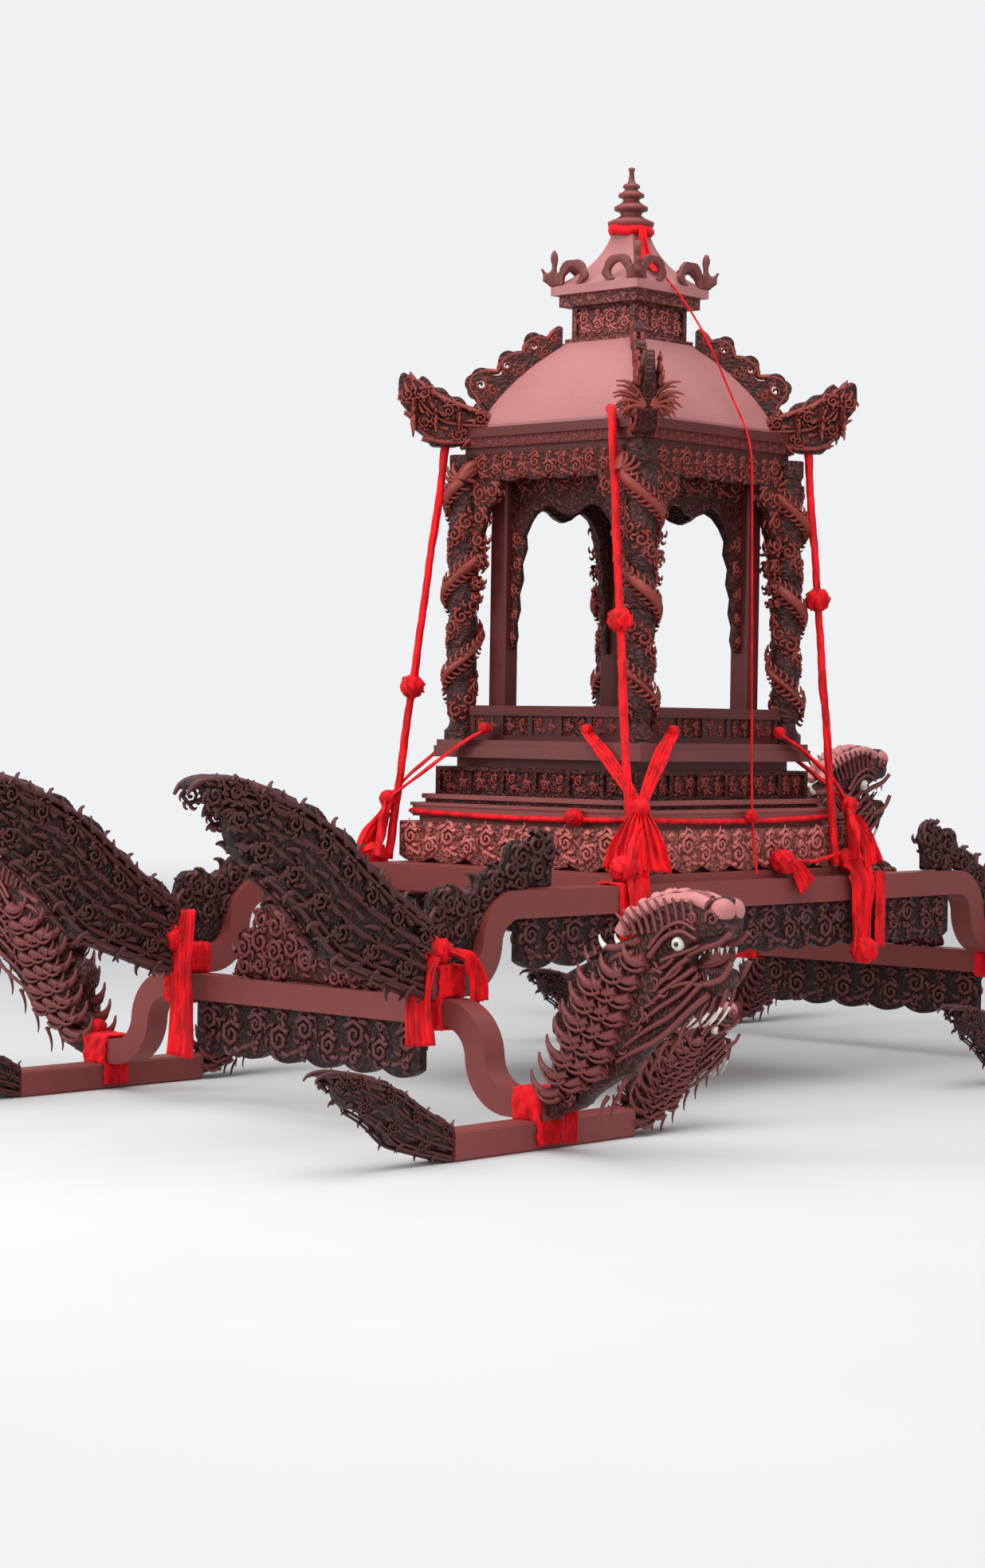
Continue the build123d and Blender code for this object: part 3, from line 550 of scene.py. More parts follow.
class Feather:
    """Form that locks fan out over, between a lower and an upper edge in shares of its length and rise."""

    def __init__(self, lower, upper, length, rise):
        self.lower, self.upper = lower, upper
        self.size = np.array((length, rise))

    def place(self, share, across):
        """Point at a share of the edges' length, and a share of the way across from the lower one."""
        return (on_edge(self.lower, share) * (1 - across) + on_edge(self.upper, share) * across) * self.size

    def ridges(self, places, thick, aside):
        """Long ridges that start at the root, each at a share of the way across."""
        strands = []
        for across in places:
            route = [self.place(share, across) for share in np.linspace(0.0, 0.62 + 0.36 * across, 9)]
            strands.append(ridge(route, thick * 1.1, aside, 0.45, 18))
        return strands

    def locks(self, rows, columns, reach, thick, aside, fan, curl):
        """Rows of locks, turned outwards by fan and bent by curl towards the two edges."""
        strands = []
        for row in range(rows):
            across = (row + 0.5) / rows
            away = across - 0.5
            for column in range(columns):
                share = (column + 0.5 * (row % 2)) / columns * 0.93
                here, there = self.place(share, across), self.place(share + 0.05, across)
                heading = math.degrees(math.atan2(there[1] - here[1], there[0] - here[0]))
                swing = (-1) ** column
                strands.append(lock(
                    here, heading + fan * away + 8 * swing, reach * (1 - 0.35 * share),
                    curl * away + 25 * swing, thick, aside + thick * 0.35 * (column % 2)))
        return strands

    def whorls(self, count, thick, aside):
        """Whorls from root to tip, in turn above and below the middle."""
        strands = []
        for i in range(count):
            centre = self.place((i + 0.6) / (count + 0.6), 0.5 + 0.24 * (-1) ** i)
            strands += whorl(centre, thick * 2.3, (-1) ** i, thick * 0.62, aside + thick * 0.7, 40.0, 1.5, 6)
        return strands


def vine(length, height, thick, aside, hand=1, leaves=5, pitch_share=0.70):
    """Running scroll on a board: volutes with leaves, alternately handed, high and low, large and small."""
    count = max(2, round(length / (pitch_share * height)))
    pitch = length / count
    strands = []
    for i in range(count):
        way = hand * (-1) ** i
        size = 1 + 0.16 * sin(2.4 * i + 3 * hand)
        centre = ((i + 0.5 + 0.08 * sin(3.1 * i)) * pitch, height * (0.5 + 0.13 * way))
        strands += whorl(centre, 0.26 * height * size, way, thick, aside, 90 - 60 * way, 1.6, leaves)
        side = ((i + 0.5) * pitch, height * (0.5 - 0.33 * way))
        strands += whorl(side, 0.12 * height * size, -way, thick * 0.85, aside, 90 + 60 * way, 1.2, 3)
        stalk = (i * pitch, height * (0.5 + 0.36 * way))
        strands.append(lock(stalk, 90 - 90 * way, height * 0.45, 80 * way, thick * 0.8, aside, points=5))
    return strands


# Dragon heads

# Whorls on the neck and cheek: along, up, reach and hand
neck_whorls = (
    (0.600, 0.615, 0.062, 1), (0.500, 0.480, 0.056, -1), (0.400, 0.360, 0.050, 1), (0.300, 0.265, 0.044, -1),
    (0.215, 0.190, 0.038, 1), (0.140, 0.120, 0.032, -1), (0.190, 0.330, 0.038, 1), (0.110, 0.240, 0.030, -1),
    (0.290, 0.415, 0.042, -1),
)
nose_and_brow_beads = [(0.925, 0.915, 0.052)] + [
    (0.44 + 0.065 * i, 0.860 + 0.105 * sin(0.36 * i + 0.2), 0.031) for i in range(7)]


class DragonHead:
    """Carving of one face of a head: places are shares of its length and rise, sizes shares of its length."""

    def __init__(self, length, rise, width):
        self.length, self.rise = length, rise
        self.cheek, self.brow, self.mane = 0.31 * width, 0.40 * width, 0.46 * width
        self.wood, self.ivory, self.highlit_ridges = [], [], []
        self.carve_mane()
        self.carve_neck()
        self.carve_brow()
        self.carve_mouth()
        self.carve_horn()

    def curl(self, along, up, heading, reach, bend, thick, aside, *shape):
        """Lock rooted on the head, with the last settings of lock as its shape."""
        root = (along * self.length, up * self.rise)
        return lock(root, heading, reach * self.length, bend, thick * self.length, aside, *shape)

    def line(self, points, thick, aside, tip, count):
        """Ridge through places on the head."""
        route = [(along * self.length, up * self.rise) for along, up in points]
        return ridge(route, thick * self.length, aside, tip, count)

    def swirl(self, along, up, reach, hand):
        """Whorl on the head."""
        centre = (along * self.length, up * self.rise)
        thick = 0.0115 * self.length
        return whorl(centre, reach * self.length, hand, thick, self.cheek + 0.008, 40.0, 1.4, 5)

    def tipped(self, strand, heading, reach, bend, thick, aside, *shape):
        """Adds a strand of wood, and an ivory point that goes on from its end."""
        self.wood.append(strand)
        root = strand[-1][:2]
        self.ivory.append(lock(root, heading, reach * self.length, bend, thick * self.length, aside, *shape))

    def carve_mane(self):
        """Three rows of broad locks, each with a fine lock in its hollow, and a few locks behind them."""
        for row in range(3):
            for i in range(7):
                share = i / 6
                along, up = 0.575 - 0.22 * share - 0.115 * row, 0.70 - 0.45 * share - 0.055 * row
                self.wood.append(self.curl(
                    along, up, 212 + 6 * share, 0.175 + 0.035 * share + 0.02 * row, -118, 0.038,
                    self.mane - 0.008 + 0.004 * (2 - row), 0.16, 1.3, 8))
                below = 0.030 * self.length / self.rise
                self.wood.append(self.curl(
                    along, up - below, 216 + 6 * share, 0.17, -105, 0.012, self.mane + 0.010, 0.3, 1.3, 6))
        for i, along in enumerate((0.30, 0.21, 0.16, 0.19, 0.21)):
            self.wood.append(self.curl(
                along, 0.66 - 0.12 * i, 196, 0.16, -100, 0.022, self.cheek * 0.5, 0.2, 1.4))

    def carve_neck(self):
        """Rippled ridges from the jaw to the foot of the neck, a fringe of short locks, and whorls."""
        for j in range(6):
            route = []
            for step in range(9):
                share = step / 8
                inward = 0.044 * j + 0.010 * sin(9 * share + 1.5 * j)
                back = share * (0.60 - 0.06 * j)
                route.append((0.885 - 0.80 * back - 0.6 * inward,
                              0.585 - 0.60 * back * (1.1 - 0.25 * share) + 0.8 * inward))
            self.wood.append(self.line(route, 0.0155, self.cheek + 0.004, 0.6, 12))
        for i in range(6):
            self.wood.append(self.curl(
                0.86 - 0.105 * i, 0.555 - 0.085 * i, 226, 0.13, 52, 0.0125, self.cheek * 0.6, 0.3))
        for place in neck_whorls:
            self.wood += self.swirl(*place)

    def carve_brow(self):
        """Locks that stand up from the brow, its ridges in the painted highlight finish, the arches over the
        eye and the nostril.
        """
        for i in range(10):
            share = i / 9
            self.wood.append(self.curl(
                0.47 + 0.33 * share, 0.795 + 0.045 * share, 118 - 34 * share,
                0.115 + 0.03 * sin(pi * share), 26, 0.0120, self.brow, 0.5))
        # Brow ridges in the lighter finish: painted highlight
        self.highlit_ridges.append(self.line(
            ((0.40, 0.80), (0.44, 0.86), (0.52, 0.895), (0.66, 0.945), (0.79, 0.960), (0.86, 0.935)),
            0.0320, self.brow * 0.58, 0.9, 16))
        self.highlit_ridges.append(self.line(
            ((0.42, 0.82), (0.46, 0.88), (0.54, 0.912), (0.66, 0.960), (0.79, 0.970), (0.84, 0.950)),
            0.0260, 0.0, 0.9, 16))
        for lift, thick in ((0.0, 0.0150), (0.034, 0.0125)):
            self.wood.append(self.line(
                ((0.585, 0.715 + lift), (0.66, 0.80 + lift), (0.75, 0.835 + lift), (0.83, 0.80 + lift)),
                thick, self.brow + 0.006, 0.6, 14))
        self.wood.append(self.line(
            ((0.64, 0.705), (0.70, 0.725), (0.77, 0.745), (0.84, 0.775)), 0.010, self.cheek + 0.010, 0.8, 8))
        for along, up, reach, hand in ((0.905, 0.885, 0.036, -1), (0.80, 0.885, 0.026, 1)):
            centre = (along * self.length, up * self.rise)
            self.wood.append(volute(
                centre, reach * self.length, 1.4 * hand, 200, 0.0120 * self.length, self.brow, 12))

    def carve_mouth(self):
        """Lips, tongue and teeth, and three ivory-tipped locks under the chin."""
        self.wood.append(self.line(
            ((0.63, 0.625), (0.71, 0.645), (0.765, 0.735), (0.84, 0.765), (0.93, 0.785), (0.985, 0.83)),
            0.0150, self.cheek, 0.9, 16))
        self.wood.append(self.line(
            ((0.62, 0.575), (0.74, 0.625), (0.86, 0.618), (0.955, 0.650), (0.995, 0.715)),
            0.0150, self.cheek, 0.9, 16))
        self.wood.append(self.line(
            ((0.70, 0.665), (0.80, 0.685), (0.90, 0.695), (0.94, 0.735)), 0.014, 0.006, 0.4, 8))
        for heading, up, row in ((268, 0.770, (0.80, 0.845, 0.89, 0.935)), (92, 0.640, (0.81, 0.87, 0.93))):
            for along in row:
                self.ivory.append(self.curl(
                    along, up, heading, 0.028, 0, 0.0085, self.cheek * 0.8, 0.3, 1.0, 3))
        for i in range(3):
            beard = self.curl(
                0.945 - 0.055 * i, 0.615 - 0.03 * i, 262 - 8 * i, 0.085, -18, 0.0115, self.cheek * 0.45, 0.8)
            self.tipped(beard, 240 - 8 * i, 0.10, -16, 0.0095, self.cheek * 0.45, 0.25, 1.6, 6)

    def carve_horn(self):
        """Horn with an ivory point, and the ear below it."""
        horn = self.curl(0.52, 0.785, 213, 0.21, -38, 0.030, self.cheek * 0.85, 0.5, 1.3, 9)
        self.tipped(horn, 150, 0.065, -50, 0.0155, self.cheek * 0.85, 0.3, 1.4, 6)
        self.wood.append(self.curl(0.50, 0.72, 178, 0.15, 40, 0.021, self.brow, 0.2))


class Beads:
    """Balls gathered into one piece."""

    def __init__(self):
        self.bm = bmesh.new()

    def add(self, place, radius, detail):
        bmesh.ops.create_icosphere(
            self.bm, subdivisions=detail, radius=radius, matrix=Matrix.Translation(place))

    def finished(self, name, finish):
        new_piece(name, as_mesh(self.bm, name), finish)


def trim_nape(core, plate, length, rise):
    """Flattens what stands up behind the brow, where the mane's locks lie."""
    for vert in core.data.vertices:
        along = (Vector(vert.co) - Vector(plate.foot)).dot(Vector(plate.along)) / length
        limit = plate.foot[2] + rise * (0.56 + 0.48 * along)
        if along < 0.50 and vert.co.z > limit:
            vert.co.z = limit + 0.1 * (vert.co.z - limit)


# The eye's place in shares of a head's length, rise and width, and its radius in shares of the length
eye_along, eye_up, eye_aside, eye_radius = 0.730, 0.775, 0.37, 0.031
# How much further along and out the pupil sits, and its radius, in shares of the length
pupil_ahead, pupil_proud, pupil_radius = 0.006, 0.022, 0.013
# Length, rise and width of each kind of head
head_sizes = {"cross": (0.585, 0.605, 0.112), "main": (0.670, 0.657, 0.120), "pole": (0.450, 0.330, 0.084)}
teeth, highlit_brows = [], []
eyes, pupils, noses = Beads(), Beads(), Beads()
for name in [name for name in nodes if "_head_" in name]:
    length, rise, width = head_sizes[name.split("_")[0]]
    low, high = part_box(name)
    if name.startswith("cross"):
        way = 1 if name.endswith("left") else -1
        plate = Plate(((low[0] + high[0]) / 2, low[1] if way > 0 else high[1], low[2]), (0, way))
    else:
        plate = Plate((low[0], (low[1] + high[1]) / 2, low[2]), (1, 0))
    piece_name = name.replace("_head_", "_dragon_")
    core = carve_core(piece_name, name, "scales", voxel=0.014, shrink=0.004, smooth=6)
    trim_nape(core, plate, length, rise)
    head = DragonHead(length, rise, width)
    add_strands(piece_name + "_locks", plate.both(head.wood), "dragon")
    teeth += plate.both(head.ivory)
    highlit_brows += plate.both(head.highlit_ridges)
    for side in (1, -1):
        eye = plate.point(eye_along * length, eye_up * rise, side * width * eye_aside)
        eyes.add(eye, eye_radius * length, 3)
        proud = width * eye_aside + pupil_proud * length
        pupil = plate.point((eye_along + pupil_ahead) * length, eye_up * rise, side * proud)
        pupils.add(pupil, pupil_radius * length, 2)
        for i, (along, up, size) in enumerate(nose_and_brow_beads):
            spot = plate.point(along * length, up * rise, side * width * (0.16 - 0.02 * i))
            noses.add(spot, size * length, 2 if i else 3)
add_strands("dragon_teeth", teeth, "ivory")
# Brow ridges, and the beads on nose and brow, in the lighter finish: painted highlight
add_strands("dragon_brows", highlit_brows, "highlit", 2)
eyes.finished("dragon_eyes", "ivory")
pupils.finished("dragon_pupils", "pupil")
noses.finished("dragon_noses", "highlit")


# Dragon tails, flames and crests

# Edges of a tail in shares of its length and rise
tail_lower = ((0.0, 0.0), (0.43, 0.20), (0.56, 0.43), (0.76, 0.61), (0.83, 0.76), (0.84, 0.86), (1.0, 0.93))
tail_upper = (
    (0.0, 0.34), (0.16, 0.48), (0.28, 0.62), (0.42, 0.78), (0.56, 0.87), (0.70, 0.94), (0.98, 0.965))
# Long smooth hooks that run off the tip
tail_hooks = (
    ((0.58, 0.86), (0.74, 0.94), (0.88, 0.985), (0.98, 0.965), (1.00, 0.915)),
    ((0.52, 0.78), (0.68, 0.86), (0.80, 0.90), (0.88, 0.875), (0.89, 0.820)),
    ((0.46, 0.66), (0.62, 0.74), (0.73, 0.76), (0.80, 0.72), (0.79, 0.665)),
)
# Length, rise and width of each kind of tail, and its rows, columns and whorls of carving
tail_sizes = {"main": (0.830, 0.580, 0.078, 7, 15, 16), "pole": (0.460, 0.250, 0.066, 5, 9, 8)}
for name in [name for name in nodes if "_tail_" in name]:
    length, rise, width, rows, columns, whorls = tail_sizes[name.split("_")[0]]
    low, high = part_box(name)
    plate = Plate((high[0], (low[1] + high[1]) / 2, low[2]), (-1, 0))
    piece_name = name.replace("_tail_", "_plume_")
    carve_core(piece_name, name, "dark ground", voxel=0.012)
    feather = Feather(tail_lower, tail_upper, length, rise)
    thick, aside = 0.014 * length, 0.42 * width
    strands = feather.ridges((0.03, 0.12, 0.36, 0.62, 0.88, 0.97), thick, aside)
    strands += feather.locks(rows, columns, 0.066 * length, thick, aside, 60.0, 170.0)
    strands += feather.whorls(whorls, thick, aside)
    strands += feather.locks(2, 10, 0.052 * length, 0.016 * length, 0.15 * width, 40.0, -90.0)
    for route in tail_hooks:
        hook = [(along * length, up * rise) for along, up in route]
        strands.append(ridge(hook, 0.026 * length, 0.30 * width, 0.25, 12))
    add_strands(piece_name + "_locks", plate.both(strands), "tail")

# Whorls in metres: along, up, reach and hand
flame_whorls = (
    (0.030, 0.105, 0.034, -1), (0.085, 0.120, 0.036, 1), (0.075, 0.050, 0.030, -1),
    (0.140, 0.085, 0.034, -1), (0.185, 0.055, 0.032, 1), (0.150, 0.020, 0.026, 1),
    (0.235, 0.020, 0.032, -1), (0.280, -0.005, 0.030, 1), (0.235, -0.045, 0.026, 1),
    (0.325, -0.030, 0.030, -1), (0.300, -0.085, 0.026, -1), (0.375, -0.040, 0.032, 1),
    (0.420, -0.025, 0.034, -1), (0.380, -0.095, 0.028, 1), (0.465, -0.050, 0.032, 1),
    (0.440, -0.105, 0.026, -1),
)
crest_whorls = (
    (0.000, 0.215, 0.036, 1), (0.060, 0.165, 0.034, -1), (0.060, 0.225, 0.024, -1), (0.120, 0.150, 0.036, 1),
    (0.180, 0.105, 0.034, -1), (0.175, 0.165, 0.026, -1), (0.245, 0.085, 0.034, 1), (0.240, 0.035, 0.028, -1),
    (0.125, 0.080, 0.032, 1), (0.060, 0.095, 0.034, 1), (0.000, 0.130, 0.034, -1), (0.000, 0.060, 0.030, 1),
    (0.180, 0.040, 0.028, 1), (0.110, 0.025, 0.026, -1),
)
beam_top = 0.624
flame_length = 0.508
crest_half_thick = 0.013


def whorls_of(table):
    return [strand for along, up, reach, hand in table
            for strand in whorl((along, up), reach, hand, 0.0100, 0.012)]


for name in ("beam_flames_left", "beam_flames_right"):
    low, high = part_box(name)
    carve_core("carved_" + name, name, "dark ground", voxel=0.009, shrink=0.002)
    curls = whorls_of(flame_whorls)
    for i in range(13):
        root = (0.02 + 0.037 * i, 0.105 - 0.013 * i)
        curls.append(lock(root, 118, 0.066, -120 * (-1) ** i, 0.0115, 0.006, 0.3))
    strands = []
    for end, x in ((1, high[0] - flame_length), (-1, low[0] + flame_length)):
        strands += Plate((x, (low[1] + high[1]) / 2, beam_top), (end, 0)).both(curls)
    add_strands(f"carved_{name}_locks", strands, "tail")

carve_core("carved_cross_crests", "cross_crests", "ground", voxel=0.009, shrink=0.002)
low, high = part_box("cross_crests")
strands = []
for x in (low[0] + crest_half_thick, high[0] - crest_half_thick):
    for way in (1, -1):
        strands += Plate((x, 0, low[2]), (0, way)).both(whorls_of(crest_whorls))
add_strands("carved_cross_crests_locks", strands, "dragon")


# Running scrolls on boards

def board_vines(name, boards, axis, height, thick):
    """Scrolls on both faces of hanging boards that lie along X, axis 0, or along Y, axis 1."""
    strands = []
    for board in boards:
        low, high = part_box(board)
        half = (high[1 - axis] - low[1 - axis]) / 2
        foot = [low[0], low[1], high[2] - height]
        foot[1 - axis] += half
        plate = Plate(foot, (1 - axis, axis))
        strands += plate.both(vine(high[axis] - low[axis], height, thick, half + 0.001))
    add_strands(name, strands, "board carving")


board_vines("main_board_scrolls", ["main_board_left", "main_board_right"], 0, 0.125, 0.0098)
board_vines("cross_board_scrolls", ["cross_board_front", "cross_board_rear"], 1, 0.138, 0.0105)


# A side of the pavilion has a way that runs along it, and faces to the right of that way

def side_point(way, along, out, level):
    return pavilion_x + way[0] * along + way[1] * out, way[1] * along - way[0] * out, level


def four_sides(strands_for_side):
    """Strands on the four sides of the pavilion, from a function of the side's way."""
    return [strand for way in ((1, 0), (0, 1), (-1, 0), (0, -1)) for strand in strands_for_side(way)]


def side_scrolls(half_width, out, level, height, thick, panels=1, gap=0.0, leaves=5, pitch_share=0.70):
    """Scrolls on the four sides of a square storey, in equal panels."""
    pitch = 2 * half_width / panels

    def side(way):
        strands = []
        for i in range(panels):
            foot = side_point(way, -half_width + i * pitch + gap / 2, out, level)
            scroll = vine(pitch - gap, height, thick, 0.0, (-1) ** i, leaves, pitch_share)
            strands += Plate(foot, way).face(scroll)
        return strands
    return four_sides(side)


def ends_of_sides(half_width, out, level, strands_for_end):
    """Strands on plates that start at both ends of each side and run towards its middle."""
    def side(way):
        strands = []
        for end in (1, -1):
            foot = side_point(way, half_width * end, out, level)
            strands += strands_for_end(Plate(foot, (-way[0] * end, -way[1] * end)))
        return strands
    return four_sides(side)


skirt_low, skirt_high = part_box("base_skirt")
frieze_low, frieze_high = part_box("base_frieze")
rail_low, rail_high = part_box("balustrades")
cornice_low, cornice_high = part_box("eave_cornice")
valance_face, valance_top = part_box("valances")[1][1:]
valance_middle = valance_face - 0.011
rail_face = rail_high[1] - 0.018
opening_half = 0.290
add_strands("skirt_scrolls", side_scrolls(
    skirt_high[1] - 0.010, skirt_high[1] + 0.001, skirt_low[2] + 0.010, 0.108, 0.0090), "bright carving")
add_strands("frieze_scrolls", side_scrolls(
    frieze_high[1] - 0.033, frieze_high[1] - 0.027, frieze_low[2] + 0.036, 0.061, 0.0052,
    panels=6, gap=0.014, leaves=4, pitch_share=0.80), "carving")
add_strands("balustrade_scrolls", side_scrolls(
    opening_half, rail_face + 0.007, rail_low[2] + 0.020, 0.050, 0.0044,
    panels=5, gap=0.020, leaves=3, pitch_share=0.85), "carving")
add_strands("drum_scrolls", side_scrolls(
    drum_high[1] - 0.046, drum_high[1] - 0.034, drum_low[2] + 0.022, 0.078, 0.0048), "bright carving")
add_strands("cornice_scrolls", side_scrolls(
    cornice_high[1] - 0.012, cornice_high[1] - 0.010, cornice_low[2] + 0.020, 0.032, 0.0040,
    leaves=3, pitch_share=1.05), "carving")

# Whorls down a bracket beside a column: along, up and reach
bracket_whorls = (
    (0.026, -0.115, 0.027), (0.026, -0.185, 0.026), (0.025, -0.255, 0.024), (0.022, -0.320, 0.020),
    (0.018, -0.380, 0.016), (0.078, -0.110, 0.024), (0.012, -0.425, 0.011),
)


def bracket(plate):
    """Whorls on both faces of a bracket."""
    strands = []
    for i, (along, up, reach) in enumerate(bracket_whorls):
        strands += plate.both(whorl((along, up), reach, (-1) ** i, 0.0065, 0.011, turns=1.4, leaves=5))
    return strands


valance_scrolls = side_scrolls(opening_half, valance_face, valance_top - 0.080, 0.078, 0.0065)
valance_scrolls += ends_of_sides(0.300, valance_middle, valance_top, bracket)
add_strands("valance_scrolls", valance_scrolls, "carving")

# Edge of an inner arch, from its foot on the post to near its middle: distance from the post, and drop
arch_edge = (
    (0.000, 0.580), (0.012, 0.576), (0.022, 0.540), (0.017, 0.500), (0.030, 0.460), (0.025, 0.415),
    (0.041, 0.370), (0.035, 0.325), (0.054, 0.280), (0.050, 0.240), (0.072, 0.200), (0.098, 0.170),
    (0.130, 0.152), (0.160, 0.156), (0.190, 0.174), (0.222, 0.184),
)
# Whorls up the arch's leg: distance from the post, drop and reach
arch_whorls = (
    (0.013, 0.540, 0.009), (0.015, 0.475, 0.012), (0.018, 0.400, 0.015), (0.023, 0.325, 0.018),
    (0.028, 0.250, 0.020),
)
arch_half = 0.225
arch_back = 0.249
arch_thick = 0.016
arch_face = arch_back + arch_thick


def quarter_turn(turn, size=3):
    return Matrix.Rotation(turn * pi / 2, size, "Z")


def inner_valances():
    """Boards with cusped arches between the inner posts, one on each side."""
    outline = [(-arch_half, 0.0), (arch_half, 0.0)]
    outline += [(arch_half - aside, -drop) for aside, drop in arch_edge]
    outline += [(aside - arch_half, -drop) for aside, drop in reversed(arch_edge)]
    bm = bmesh.new()
    for turn in range(4):
        verts = [bm.verts.new((across, arch_back, valance_top + rise)) for across, rise in outline]
        pushed = bmesh.ops.extrude_face_region(bm, geom=[bm.faces.new(verts)])
        front = [item for item in pushed["geom"] if isinstance(item, bmesh.types.BMVert)]
        bmesh.ops.translate(bm, verts=front, vec=(0, arch_thick, 0))
        bmesh.ops.rotate(bm, verts=verts + front, cent=(0, 0, 0), matrix=quarter_turn(turn))
    bmesh.ops.translate(bm, verts=bm.verts, vec=(pavilion_x, 0, 0))
    bmesh.ops.recalc_face_normals(bm, faces=bm.faces)
    new_piece("inner_valances", as_mesh(bm, "inner_valances"), "ground").data.shade_flat()


def arch_leg(plate):
    """Whorls on the outer face of one leg of an arch."""
    strands = []
    for i, (aside, drop, reach) in enumerate(arch_whorls):
        strands += plate.face(whorl((aside, -drop), reach, (-1) ** i, 0.0050, 0.0, turns=1.3, leaves=3))
    return strands


inner_valances()
arch_scrolls = side_scrolls(0.222, arch_face, valance_top - 0.122, 0.115, 0.0065)
arch_scrolls += ends_of_sides(arch_half, arch_face, valance_top, arch_leg)
add_strands("inner_valance_scrolls", arch_scrolls, "carving")


# Dragons that wind up the columns

column_turns = 2.6
shaft_radius = 0.045
climb_start = 0.07
climb = 0.70
column_scales = 56
column_whorls = 20
# Locks of the dragon's head at the top: heading, length, bend and thickness
column_head = (
    (80, 0.075, -60, 0.022), (60, 0.060, -40, 0.018), (150, 0.060, -80, 0.010), (175, 0.065, -80, 0.010),
    (200, 0.065, -80, 0.010), (230, 0.060, -80, 0.010), (20, 0.060, 50, 0.009), (0, 0.050, -50, 0.009),
)


def column_place(share, turned=0.0):
    """Along, which is the way round the shaft, and up, at a share of the climb."""
    return (share * column_turns + turned) * 2 * pi * shaft_radius, climb_start + climb * share


def column_dragon():
    """Strands of a dragon that winds up a shaft: body, scales, curls between its turns, and head."""
    share = np.linspace(0, 1, 120)
    round_shaft, level = column_place(share)
    body_radius = 0.019 * (0.45 + 0.55 * np.minimum(1, share * 2.2))
    strands = [np.column_stack((round_shaft, level, 0.006 + 0.004 * np.sin(share * 40), body_radius))]
    for i in range(column_scales):
        along, up = column_place((i + 0.5) / column_scales)
        strands.append(lock((along, up + 0.012), 118, 0.026, -60, 0.0060, 0.014, 0.4, points=5))
        strands.append(lock((along, up - 0.012), -50, 0.026, 80, 0.0055, 0.010, 0.4, points=5))
    for i in range(column_whorls):
        centre = column_place((i + 0.5) / column_whorls, 0.5)
        strands += whorl(centre, 0.024, (-1) ** i, 0.0062, 0.001, turns=1.3, leaves=5)
    head_root = (column_turns * 2 * pi * shaft_radius, 0.775)
    for heading, length, bend, thick in column_head:
        strands.append(lock(head_root, heading, length, bend, thick, 0.014, 0.35))
    return strands


def wound(rows, x, y, foot, hand):
    """Strand of along and up laid round a shaft's surface."""
    angle = rows[:, 0] / shaft_radius * hand
    out = shaft_radius + rows[:, 2]
    return np.column_stack((x + out * np.cos(angle), y + out * np.sin(angle), foot + rows[:, 1], rows[:, 3]))


for name in [name for name in nodes if name.startswith("dragon_column")]:
    low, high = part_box(name)
    middle_x, middle_y = (low[0] + high[0]) / 2, (low[1] + high[1]) / 2
    hand = 1 if name.endswith("left") else -1
    strands = [wound(rows, middle_x, middle_y, low[2], hand) for rows in column_dragon()]
    add_strands(name.replace("dragon_column", "column_dragon"), strands, "carving")


# Corner dragons, hip crests and upper corners

diagonals = ((1, 1), (-1, 1), (-1, -1), (1, -1))
corner_lower = ((0.0, 0.0), (0.38, -0.12), (0.64, -0.12), (0.82, 0.14), (0.92, 0.45), (0.99, 0.80))
corner_upper = ((0.0, 0.36), (0.20, 0.50), (0.37, 0.58), (0.56, 0.70), (0.76, 0.88), (0.96, 0.96))
eave_half = 0.366
corner_root = eave_half - 0.100 / math.sqrt(2)
corner_level = 1.915
# Crowns of locks on a corner dragon: distance from its root, and height
corner_crowns = ((0.090, 0.085), (0.160, 0.110), (0.225, 0.120))


def diagonal_point(way, half, level):
    """Place on a diagonal of the pavilion, at a half width."""
    return pavilion_x + way[0] * half, way[1] * half, level


def eave_dragons():
    """Corner dragons drawn slimmer across their diagonals, most of all at the top."""
    mesh = rounded(merged_copy("roof_corners"), 0.010, 4)
    for vert in mesh.vertices:
        x, y = vert.co.x - pavilion_x, vert.co.y
        outward = Vector((math.copysign(1, x), math.copysign(1, y))).normalized()
        away = x * outward.x + y * outward.y
        aside = -x * outward.y + y * outward.x
        slim = 0.62 - 0.34 * max(0.0, min(1.0, (vert.co.z - 1.93) / 0.15))
        vert.co.x = pavilion_x + away * outward.x - aside * slim * outward.y
        vert.co.y = away * outward.y + aside * slim * outward.x
    new_piece("eave_dragons", mesh, "ground", ["roof_corners"])


def corner_crown(way, reach, height):
    """Locks that fan out sideways from a corner dragon's back, over a whorl on each side."""
    spot = diagonal_point(way, corner_root + reach / math.sqrt(2), 1.955)
    crown = []
    for side in (1, -1):
        for heading in (15, 38, 60, 80):
            length = height * (0.60 + 0.40 * heading / 80)
            crown.append(lock(
                (0.010 * side, 0.0), 90 - side * (90 - heading), length, -side * 80, 0.0105, 0.0, 0.2))
        crown += whorl((0.046 * side, 0.012), 0.020, side, 0.0060, 0.0, turns=1.3, leaves=5)
    return Plate(spot, (-way[1], way[0])).face(crown)


eave_dragons()
feather = Feather(corner_lower, corner_upper, 0.271, 0.196)
corner_locks = feather.ridges((0.08, 0.5, 0.92), 0.0085, 0.030)
corner_locks += feather.locks(4, 7, 0.042, 0.0085, 0.030, 80.0, -60.0)
corner_locks += feather.whorls(6, 0.0085, 0.030)
corner_locks += feather.locks(2, 7, 0.038, 0.0078, 0.010, 60.0, 130.0)
strands = []
for way in diagonals:
    strands += Plate(diagonal_point(way, corner_root, corner_level), way).both(corner_locks)
    for reach, height in corner_crowns:
        strands += corner_crown(way, reach, height)
add_strands("eave_dragons_locks", strands, "carving")

